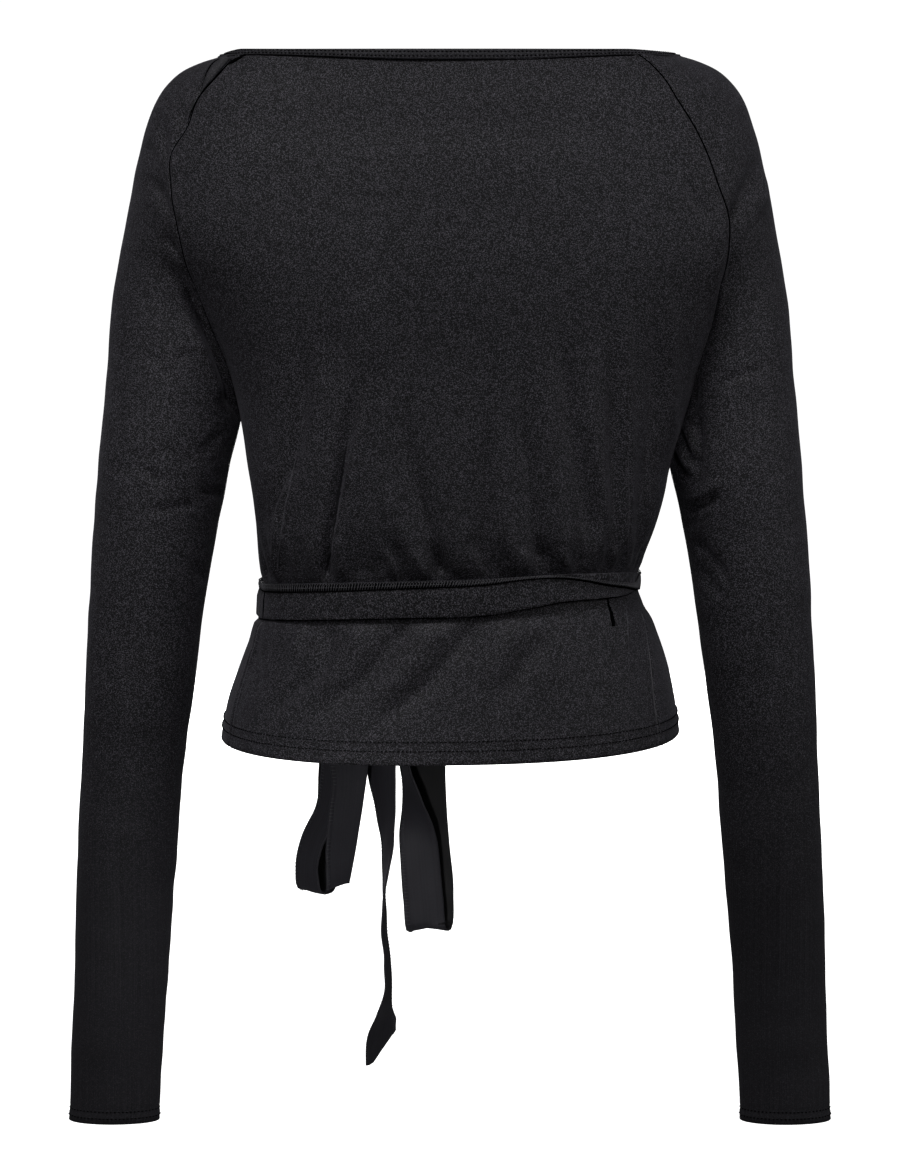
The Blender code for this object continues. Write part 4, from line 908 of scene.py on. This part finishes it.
def sleeve_cloth(side):
    armpit = ARMPIT[side]
    upper = np.linspace(CLOTH_TOP, armpit, 104 if side > 0 else 114)
    lower = np.linspace(armpit, CUFF, 176 if side > 0 else 166)[1:]
    levels = np.concatenate([upper, lower])[:, None]
    closed = len(upper) - 1
    t = np.linspace(-1, 1, 117)
    base = sleeve_point(side, t, levels)
    open_seam = levels >= armpit
    levels = np.broadcast_to(levels, base.shape[:2])
    weight = ramp(1 - np.abs(t), 0.0, 0.3) * (1 - ramp(np.abs(levels - armpit + 12), 20, 75))
    base = evened(base, 60, weight)

    def look(grid):
        """Normals of the sleeve, alike on both edges where they join."""
        normals = surface_normals(grid) * side
        normals[closed:, 0] = normals[closed:, -1] = unit(normals[closed:, 0] + normals[closed:, -1])
        return normals

    normals = look(base)
    nearest = edge_distance(base)
    height = raise_creases(base, normals, SLEEVE_CREASES, 2.1)
    mirrored = base * (1, -1, 1) + np.array((0, 0, 16.0))
    height += raise_creases(mirrored, normals * (1, -1, 1), SLEEVE_CREASES, 0.7)
    height += 0.45 * waves(base, 95.0, 17 + side) + 0.16 * waves(base, 30.0, 23 + side, stretch=(0.5, 0.5, 1))
    height *= np.where(open_seam, ramp(nearest, 0, 5), 1.0)
    height += np.where(open_seam, seam_groove(nearest, depth=0.9, ridge=0.25),
                       -0.3 * bell(nearest, 0, 0.9) * ramp(armpit - levels, 0, 15))
    name = "sleeve_left_cloth" if side > 0 else "sleeve_right_cloth"
    return hemmed_cloth(name, base, normals, height, levels, CUFF_TURN, look, SLEEVE_JERSEY, closed)


# ---- Neck binding ----

def binding_lines():
    """Upper and lower line of the binding on the cloth, from one hem round the neck to the other."""
    front_levels = np.concatenate([[0.0], np.linspace(-12, HEM, 150)])
    both = np.array([[0.0, -BINDING_WIDTH]])
    parts = []
    for side in (1, -1):
        upper = front_surface(side, edge_angle(side, front_levels), front_levels)
        lower = front_surface(side, edge_angle(side, front_levels, FRONT_BINDING), front_levels)
        lower[0] = section(side, seam_angle(side, "front", -BINDING_WIDTH), -BINDING_WIDTH)
        parts.append((np.stack([upper, lower], 1), sleeve_point(side, np.linspace(-1, 1, 41)[:, None], both)))
    back = back_point(np.linspace(0, 1, 121)[:, None], both)
    (front_left, sleeve_left), (front_right, sleeve_right) = parts
    return np.concatenate([front_left[:0:-1], sleeve_left[:-1], back[:-1], sleeve_right[:0:-1], front_right])


def binding():
    line = evened(binding_lines(), 6)
    along = unit(np.gradient(line, axis=0).mean(1))
    fall = line[:, 1] - line[:, 0]
    out = unit(np.cross(fall, along))
    out *= np.sign(np.einsum("ij,ij->i", out, line[:, 0] * (1, 1, 0)).sum())
    behind = ramp(line[:, 0, 1], 0, 25)
    seam_x = np.abs(line[:, 0, 0])
    narrow = 1 - 0.42 * behind * ramp(seam_x, 20, 118) * (1 - 0.35 * ramp(seam_x, 122, 134))
    top = line[:, 0] - fall * (behind * BINDING_LIFT / BINDING_WIDTH)[:, None]
    fall = fall * narrow[:, None]
    made["binding"] = (top, fall, out)
    rings = np.stack([top + fall * share + out * lift for share, lift in BINDING_PROFILE], 1)
    return band("neck_binding_cloth", rings, BINDING_JERSEY)


# ---- Ties ----

def tie_rings(angle, top, bottom, rest, profile):
    """Rings of a tie round the torso, and the way out of each, from arrays along the tie."""
    share, lift = (np.stack([np.broadcast_to(part, angle.shape) for part in parts], 1) for parts in zip(*profile))
    level = top[:, None] - (top - bottom)[:, None] * share
    turn = np.broadcast_to(angle[:, None], level.shape)
    ahead = section(1, turn + 0.5, level) - section(1, turn - 0.5, level)
    out = unit(np.cross(ahead, (0, 0, 1)))
    return section(1, turn, level) + out * (rest[:, None] + lift)[..., None], out


def outer_profile(seam, flap):
    """Section of the outer tie, from its upper edge down the outside and up the inside.

    Along the upper edge lies the overlocked seam, which stands off more where it has folded over.
    """
    rise = 0.35 + 1.3 * flap
    on_seam = ((0.2, 0.95), (0.5, 1.0), (0.8, 0.95), (0.97, 0.55))
    on_face = ((0.05, -0.1), (0.15, 0.06), (0.32, 0.14), (0.5, 0.16), (0.7, 0.12), (0.88, 0.0))
    return ((0.0, 0.6), (0.012, TIE_WALL + rise * 0.5),
            *((seam * share, TIE_WALL + rise * up) for share, up in on_seam), (seam * 1.01, TIE_WALL - 0.35),
            *((seam + (1 - seam) * share, TIE_WALL + up) for share, up in on_face), (0.985, TIE_WALL - 0.25),
            (1.0, 0.55), (0.985, 0.1), (0.75, 0.0), (0.5, 0.0), (0.25, 0.0), (0.02, 0.1))


def outer_tie():
    angle = np.linspace(*OUTER_TIE_SPAN, 420)
    lift, rise, seam = (column(OUTER_TIE, name, angle) for name in ("lift", "bottom_rise", "seam"))
    over_inner = 1 - ramp(angle, 151, 162)
    rest = TIE_REST + (TIE_WALL + TIE_REST + TIE_SPARE) * over_inner + WRAP_LIFT * ramp(-angle, -4, 8)
    at_top = section(1, angle, BELT_TOP)[:, 0]
    rest = rest + np.where(angle > 180, TIE_SPARE + wrap_lift(-1, at_top), 0.0)
    flap = plateau(angle, 112, 128, 158, 172)
    top, bottom = BELT_TOP + lift, BELT_BOTTOM + rise
    rings, out = tie_rings(angle, top, bottom, rest, outer_profile(seam / (top - bottom), flap))
    upper, lower = rings[:, [SEAM_EDGE], 2], rings[:, [LOWER_EDGE], 2]
    from_top = np.clip(1 - (rings[..., 2] - lower) / (upper - lower), 0, 1)
    lean = 2.4 * plateau(angle, -24, -12, 8, 20)
    rings -= out * (lean[:, None] * np.clip(1 - from_top / 0.45, 0, 1))[..., None]
    wrinkle = 0.22 * waves(rings[:, FACE], 22.0, 31, stretch=(0.22, 0.22, 1.0)) - 1.1 * bell(angle, 7.5, 0.7)[:, None]
    rings[:, FACE] += out[:, FACE] * wrinkle[..., None]
    made["outer_tie"] = (rings, out[:, 2], flap, angle)
    return band("waist_tie_outer_cloth", rings, TIE_JERSEY)


def inner_tie():
    angle = np.linspace(*INNER_TIE_SPAN, 260)
    rest = TIE_REST + 0.3 * ramp(-angle, 0, 10) + (WRAP_LIFT + BINDING_RISE + 0.3) * ramp(-angle, 24, 36)
    top = BELT_TOP - INNER_TIE_DROP - INNER_TIE_DIP * plateau(-angle, 4, 36, 48, 66)
    bottom = top - INNER_TIE_WIDTH + column(OUTER_TIE, "bottom_rise", angle)
    rings, _ = tie_rings(angle, top, bottom, rest, INNER_PROFILE)
    return band("waist_tie_inner_cloth", rings, TIE_JERSEY)


# ---- Bow ----

def strip(name, rows, count, cut, seed, inside=None):
    """A loop or end of the bow. cut slants its tip; inside is 0 or 1 for the face that takes the painted shade."""
    rows = resample(rows, count)
    path, half, turn = rows[:, :3], rows[:, 3] / 2, np.radians(rows[:, 4])
    along = unit(np.gradient(path, axis=0))
    across = np.stack([np.cos(turn), np.sin(turn), 0 * turn], -1)
    across = unit(across - along * np.einsum("ij,ij->i", across, along)[:, None])
    out = np.cross(along, across)
    if name in STRIP_TRIM:
        amount, near, full, shift = STRIP_TRIM[name]
        trim = amount * ramp(-path[:, 2], near, full) * ramp(path[:, 1], -126, -121)
        path, half = path + np.outer(trim, (shift, 0, 0)), half - trim
    skew = np.clip(np.arange(CUT_ROWS + 1 - count, CUT_ROWS + 1) / CUT_ROWS, 0, 1) * cut
    rings = np.stack([path + across * (half * share)[:, None] + out * lift
                      + along * (skew * max(share, -0.6))[:, None] for share, lift in STRIP_PROFILE], 1)
    rings = rings + out[:, None] * 0.35 * waves(rings, 26.0, seed)[..., None]
    made[name] = (path, along, across, out, half, skew)
    obj = band(name, rings, BOW_JERSEY)
    if inside is not None:
        obj.data.materials.append(SHADED_JERSEY)
        around = len(STRIP_PROFILE)
        for k, polygon in enumerate(obj.data.polygons[:-2]):
            polygon.material_index = int(1 <= k % around - around // 2 * inside < around // 2 - 1)
    return obj


def knot():
    turns = np.linspace(0, 2 * math.pi, 48, endpoint=False)
    cos, sin = np.cos(turns), np.sin(turns)
    rings = []
    for s in np.linspace(-1, 1, 45):
        swell = math.sqrt(1 - (0.93 * s)**2)
        crease = 1 - 0.05 * np.maximum(0, np.sin(turns + s * 2.2 + 1.0))**12 + 0.03 * np.sin(s * 9 + 2 * sin)
        x, y = ((end + more * swell) * np.sign(way) * np.abs(way)**0.75 * crease
                for end, more, way in zip(KNOT_ENDS, KNOT_SWELL, (cos, sin)))
        rings.append(np.array(KNOT_CENTRE) + np.stack([x, y, np.full(turns.shape, KNOT_HEIGHT * s)], -1))
    return band("bow_knot_cloth", rings, BOW_JERSEY)


# ---- Stitches ----

def grid_line(name, level):
    """Line across a cloth at a level, with its normals."""
    grid, normals, levels = made[name]
    own = levels[:, 0]
    k = int(np.clip(np.searchsorted(-own, -level) - 1, 0, len(own) - 2))
    s = (own[k] - level) / (own[k] - own[k + 1])
    return grid[k] * (1 - s) + grid[k + 1] * s, unit(normals[k] * (1 - s) + normals[k + 1] * s)


def join(parts):
    return [np.concatenate(values) for values in zip(*parts)]


def row_stitches(name, lines, radius):
    starts, ends, normals = join(stitch_line(*line, PITCH, STITCH) for line in lines)
    lift = normals * radius * 0.35
    return threads(name, starts + lift, ends + lift, normals, radius, THREAD, arch=radius * 0.9)


def hem_stitches():
    names = ("back_cloth", "front_outer_cloth", "front_inner_cloth")
    return row_stitches("hem_stitches", [grid_line(name, HEM + row) for row in HEM_ROWS for name in names], 0.42)


def cuff_stitches(name):
    return row_stitches(name + "_cuff_stitches", [grid_line(name + "_cloth", CUFF + row) for row in CUFF_ROWS], 0.38)


def neck_stitches():
    top, fall, out = made["binding"]
    return row_stitches("neck_stitches", [(top + fall * share + out * 0.36, out) for share in (0.28, 0.74)], 0.40)


def overlock_lines():
    """Upper and lower line of the overlocking on the outer tie; on the folded part it edges the flap."""
    rings, outs, flap, _ = made["outer_tie"]
    edge, middle, foot = rings[:, SEAM_EDGE], rings[:, SEAM_MIDDLE], rings[:, SEAM_FOOT]
    folded = flap[:, None]
    return edge * (1 - folded) + (foot * 0.4 + middle * 0.6) * folded, foot, outs, folded


def overlock_stitches():
    """Slanted loops over the seam and the chain along its top."""
    high, low, outs, _ = overlock_lines()
    lengths = path_lengths(low)
    at = np.arange(1.0, lengths[-1] - 3.0, 1.75)
    at = at + np.random.default_rng(5).uniform(-0.25, 0.25, len(at))
    out = unit(at_lengths(outs, lengths, at))
    starts, ends = at_lengths(low, lengths, at), at_lengths(high * 0.85 + low * 0.15, lengths, at + 1.3)
    shown = np.linalg.norm(ends - starts, axis=1) < 9
    loops = [part[shown] for part in (starts + out * 0.2, ends + out * 0.2, out)]
    chains = [stitch_line(high * share + low * (1 - share) + outs * 0.25, outs, 2.0, 1.1, start)
              for share, start in ((0.9, 0.4), (0.45, 1.4))]
    return threads("waist_tie_overlock", *join([loops] + chains), 0.25, BRIGHT_THREAD, arch=0.2)


def overlock_shade():
    """Painted shade on the seam under the loops, and a painted shadow in the gap along its foot."""
    high, low, outs, folded = overlock_lines()
    rings = np.stack([high + outs * 0.1, low + outs * 0.1, low - outs * 0.4, high - outs * 0.4], 1)
    foot = cord("waist_tie_foot_shadow", low + (0, 0, -0.35) + outs * (0.05 - 0.5 * folded), outs,
                0.32 + 0.55 * folded[:, 0], PAINTED_GAP_SHADE)
    return band("waist_tie_seam_shade", rings, SEAM_SHADE), foot


def belt_gap_shadows():
    """Painted shadow lines round the outer tie: under its lower edge, and where it leaves the layer under it."""
    rings, outs, _, angle = made["outer_tie"]
    run = (angle > 3) & (angle < 172)
    edge, out = rings[run, LOWER_EDGE], outs[run]
    width = 0.34 + 0.16 * waves(edge, 18.0, 61)
    under = cord("waist_tie_gap_shadow", edge + out * 0.15 - (0, 0, 0.2), out, np.clip(width, 0.18, 0.6), PAINTED_GAP_SHADE)
    x, _ = to_frame(rings[:, FACE_MIDDLE])
    turn = np.argmin(np.abs(x - TURN_X) + 1000.0 * ((angle > 60) | (angle < 0)))
    face = rings[turn, FACE.start - 1:FACE.stop + 1]
    out = np.repeat(outs[turn][None], len(face), 0)
    thin = np.sin(math.pi * np.linspace(0.15, 0.85, len(face)))
    return under, cord("waist_tie_turn_shadow", face + out * 0.15, out, 0.6 * thin, PAINTED_GAP_SHADE)


def ladder_stitches():
    """Short threads across the sewn edge of each strip of the bow."""
    parts = []
    for name in ("bow_loop_left_cloth", "bow_loop_right_cloth", "bow_end_short_cloth", "bow_end_long_cloth"):
        path, along, across, out, half, skew = made[name]
        lengths = path_lengths(path)
        at = np.arange(2.0, lengths[-1] - 2.0, 2.4)
        for face in (1, -1):
            low, high = (path + across * (half * share)[:, None] + along * (skew * share)[:, None] + out * 0.75 * face
                         for share in (0.72, 0.97))
            parts.append((at_lengths(low, lengths, at), at_lengths(high, lengths, at + 0.4),
                          unit(at_lengths(out, lengths, at)) * face))
    starts, ends, normals = join(parts)
    return threads("bow_edge_stitches", starts + normals * 0.2, ends + normals * 0.15, normals, 0.24, EDGE_THREAD)


def lay(places, grid, normals, near=4, soften=0.3):
    """Points and normals of a surface under places of the frame, each from the nearest points of its grid."""
    x, y = to_frame(grid)
    found = []
    for px, py in places:
        gap = np.hypot(x - px, y - py)
        nearest = np.argsort(gap)[:near]
        weight = 1 / (gap[nearest] + soften)
        weight = (weight / weight.sum())[:, None]
        found.append(((grid[nearest] * weight).sum(0), unit((normals[nearest] * weight).sum(0))))
    return [np.array(part) for part in zip(*found)]


def on_back(places):
    grid, normals, _ = made["back_cloth"]
    return lay(places, grid.reshape(-1, 3), normals.reshape(-1, 3))


def on_shoulder(places):
    """Places laid on the left shoulder, back or sleeve, whichever shows."""
    (back, back_outs, _), (sleeve, outs, _) = made["back_cloth"], made["sleeve_left_cloth"]
    seen = outs[..., 1] > 0.15
    return lay(places, np.concatenate([back.reshape(-1, 3), sleeve[seen]]),
               np.concatenate([back_outs.reshape(-1, 3), outs[seen]]), 8, 0.5)


def hole_line(py):
    return 606.5 + 6.8 * ramp(py, 592, 626)


def buttonhole():
    """Worked hole that the inner tie comes out of, where it shows under the outer tie: rails and a bar."""
    rails = [(hole_line(py) + aside, py) for py in np.arange(600.0, 627, 1.5) for aside in (-2.9, 2.9)]
    bar = [(hole_line(627), 627 + shift) for shift in (-0.9, 0.0, 0.9)]
    points, normals = on_back(rails + bar)
    across = unit(np.cross(normals, (0, 0, 1))) * np.repeat((0.7, 2.2), (len(rails), len(bar)))[:, None]
    points += normals * 0.1
    return threads("buttonhole_stitches", points - across, points + across, normals, 0.33, EDGE_THREAD, arch=0.2)


def slit():
    """The open slit between the rails, drawn as a dark band of painted shade."""
    py = np.linspace(597, 626.5, 30)
    points, normals = on_back(zip(hole_line(py), py))
    across = unit(np.cross(normals, (0, 0, 1))) * (0.6 + 0.8 * ramp(py, 600, 616))[:, None]
    corners = ((-1, 0.3), (1, 0.3), (1, -0.5), (-1, -0.5))
    return band("buttonhole_slit_shade", np.stack([points + across * aside + normals * up for aside, up in corners], 1),
                PAINTED_GAP_SHADE)


# ---- Seam lines ----

def cloth_line(name, at, low, high=0.0):
    """One column of a cloth's grid between two levels, with its normals."""
    grid, outs, levels = made[name]
    run = (levels[:, 0] > low) & (levels[:, 0] < high)
    return grid[run, at], outs[run, at]


def seam_shade(name, side, radius):
    """Painted shade along the raglan seam at the back's edge, from the binding to the armpit."""
    path, out = cloth_line("back_cloth", 0 if side > 0 else -1, ARMPIT[side] + 4)
    ends = np.clip((np.arange(len(path))[::-1]) / 25, 0.1, 1)
    return cord(name, path + out * 0.05, out, radius * ends, PAINTED_GAP_SHADE, flat=0.8)


def front_seam_shade(name, sleeve, side):
    """Painted shade along the raglan seam of a front, from the binding to the armpit."""
    path, out = cloth_line(sleeve, 0, ARMPIT[side] + 4)
    return cord(name, path - out * 0.3, out, 0.85, PAINTED_GAP_SHADE, flat=0.6)


def side_seam_highlight(name, at):
    """Painted highlight along the sewn ridge down one side of the flared part."""
    path, out = cloth_line("back_cloth", at, HEM + 2, BELT_BOTTOM - 2)
    return cord(name, path + out * 0.25, out, 0.34, BRIGHT_THREAD)


def neck_shade():
    """Painted shadow in the gap along the binding's lower edge."""
    top, fall, out = made["binding"]
    behind = top[:, 1] > 18
    return cord("neck_shade", (top + fall * 1.12 + out * 0.05)[behind], out[behind], 0.30, PAINTED_GAP_SHADE)


def shoulder_line(rows, count):
    rows = resample(rows, count)
    path, out = on_shoulder(rows[:, :2])
    return evened(path, 14), out, rows[:, 2]


def rolled_seam():
    """The seam allowance of the left shoulder, rolled over onto the sleeve, with painted shade in the gaps beside it.
    """
    path, out, half = shoulder_line(ROLL, 60)
    across = unit(np.cross(unit(np.gradient(path, axis=0)), out))
    turn = np.linspace(0, 2 * math.pi, 24, endpoint=False)[None, :, None]
    fold = 1 + 0.08 * np.cos(3 * turn + np.arange(len(path))[:, None, None] * 0.11)
    around = across[:, None] * np.cos(turn) + out[:, None] * np.sin(turn) * 0.6
    rings = (path + out * half[:, None] * 0.15)[:, None] + around * fold * half[:, None, None]
    gap, gap_out, gap_width = shoulder_line(ROLL_GAP, 90)
    edge, edge_out, edge_width = shoulder_line(ROLL_EDGE, 50)
    return [band("rolled_seam", rings, ROLL_JERSEY),
            cord("rolled_seam_gap_shade", gap + gap_out * 0.25, gap_out, gap_width, PAINTED_GAP_SHADE, flat=0.8),
            cord("rolled_seam_edge_shade", edge + edge_out * 0.45, edge_out, edge_width, PAINTED_GAP_SHADE, flat=0.9)]


def fold_highlights():
    """Painted highlights on the crests of the sharpest folds, as fine bright lines. The second has a painted shade
    beside it.
    """
    cords = []
    for count, (radius, line) in enumerate(FOLD_HIGHLIGHTS, 1):
        line = smooth_line(line, 10)
        path, out = on_back(line)
        thin = np.sin(math.pi * np.linspace(0.04, 0.96, len(path)))**0.5
        cords.append(cord(f"fold_highlight_{count}", path + out * 0.12, out, radius * 1.4 * thin, CREST_HIGHLIGHT))
        if count == 2:
            path, out = on_back(line - (2.0, 0))
            cords.append(cord("fold_shade_2", path + out * 0.05, out, 0.95 * thin, FOLD_SHADE, flat=0.3))
    return cords


# ---- Build ----

def place(piece, node=None):
    """Puts a piece on the one body, and hides the solid that it stands for."""
    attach(piece, "root")
    if node:
        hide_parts(node)


back = back_cloth()
front_outer, front_inner = front_cloth(-1), front_cloth(1)
sleeve_left, sleeve_right = sleeve_cloth(1), sleeve_cloth(-1)
neck = binding()
tie_outer = outer_tie()
tie_inner = inner_tie()
bow_knot = knot()
loop_left = strip("bow_loop_left_cloth", LOOP_LEFT, 150, 0.0, 41, inside=1)
loop_right = strip("bow_loop_right_cloth", LOOP_RIGHT_WORN, 150, 0.0, 43, inside=1)
end_short = strip("bow_end_short_cloth", END_SHORT, 90, 2.5, 47)
end_long = strip("bow_end_long_cloth", END_LONG_WORN, 130, -13.4, 53)
hem_rows = hem_stitches()
cuff_left, cuff_right = cuff_stitches("sleeve_left"), cuff_stitches("sleeve_right")
neck_rows = neck_stitches()
overlock = overlock_stitches()
ladders = ladder_stitches()
hole, gap = buttonhole(), slit()
lines = [
    seam_shade("seam_left_shade", 1, 0.62), seam_shade("seam_right_shade", -1, 0.80), neck_shade(), *rolled_seam(),
    front_seam_shade("seam_left_front_shade", "sleeve_left_cloth", 1), front_seam_shade("seam_right_front_shade", "sleeve_right_cloth", -1),
    side_seam_highlight("side_seam_left_highlight", 0), side_seam_highlight("side_seam_right_highlight", -1), *fold_highlights(),
]
tie_lines = [*overlock_shade(), *belt_gap_shadows()]

for piece in (hem_rows, cuff_left, cuff_right, neck_rows, hole, gap, *lines):
    place(piece)
for piece in (overlock, ladders, *tie_lines):
    place(piece)
place(back, "back")
place(front_outer, "front_outer")
place(front_inner, "front_inner")
place(sleeve_left, "sleeve_left")
place(sleeve_right, "sleeve_right")
place(neck, "neck_binding")
place(tie_outer, "waist_tie_outer")
place(tie_inner, "waist_tie_inner")
place(bow_knot, "bow_knot")
place(loop_left, "bow_loop_left")
place(loop_right, "bow_loop_right")
place(end_short, "bow_end_short")
place(end_long, "bow_end_long")


# ---- Studio ----

def studio():
    scene = bpy.context.scene
    camera = bpy.data.cameras.new("camera")
    camera.sensor_width = LONG_SIDE
    camera.lens = LENS
    camera.clip_end = 50
    eye = link(bpy.data.objects.new("camera", camera))
    eye.location = EYE * MM
    eye.rotation_euler = (math.radians(90) - TILT, 0, math.radians(180))
    scene.camera = eye

    world = bpy.data.worlds.new("studio_air")
    world.use_nodes = True
    scene.world = world
    fill, add = node_tools(world.node_tree)
    seen = add("LightPath")["Is Camera Ray"]
    strength = add("MapRange", {"To Min": AIR_LIGHT, "To Max": AIR_SEEN, "Value": seen})["Result"]
    fill(world.node_tree.nodes["Background"], {"Color": (1, 1, 1, 1), "Strength": strength})

    def hang(light, place_at, target, power):
        light.energy = power
        obj = link(bpy.data.objects.new(light.name, light))
        obj.location = place_at
        way = np.array(target) - np.array(place_at)
        obj.rotation_euler = (math.atan2(math.hypot(way[0], way[1]), -way[2]), 0,
                              math.atan2(way[1], way[0]) - math.pi / 2)

    for name, place_at, target, size, power in AREA_LIGHTS:
        light = bpy.data.lights.new(name, "AREA")
        light.size = size
        hang(light, place_at, target, power)
    for name, place_at, target, degrees, power, blend in SPOT_LIGHTS:
        light = bpy.data.lights.new(name, "SPOT")
        light.shadow_soft_size = 0.12
        light.spot_size = math.radians(degrees)
        light.spot_blend = blend
        hang(light, place_at, target, power)

    floor_mesh = bpy.data.meshes.new("floor")
    corners = [(x * FLOOR_REACH, y * FLOOR_REACH, FLOOR_LEVEL) for x, y in ((-1, -1), (1, -1), (1, 1), (-1, 1))]
    floor_mesh.from_pydata(corners, [], [(0, 1, 2, 3)])
    pale, shader, fill, _ = new_material("pale_floor")
    fill(shader, {"Base Color": (0.93, 0.93, 0.93, 1), "Roughness": 0.9, "Emission Color": (1, 1, 1, 1),
                  "Emission Strength": 1.0})
    floor_mesh.materials.append(pale)
    floor = link(bpy.data.objects.new("floor", floor_mesh))
    floor.visible_diffuse = False
    floor.visible_glossy = False
    scene.view_settings.view_transform = "Standard"


studio()
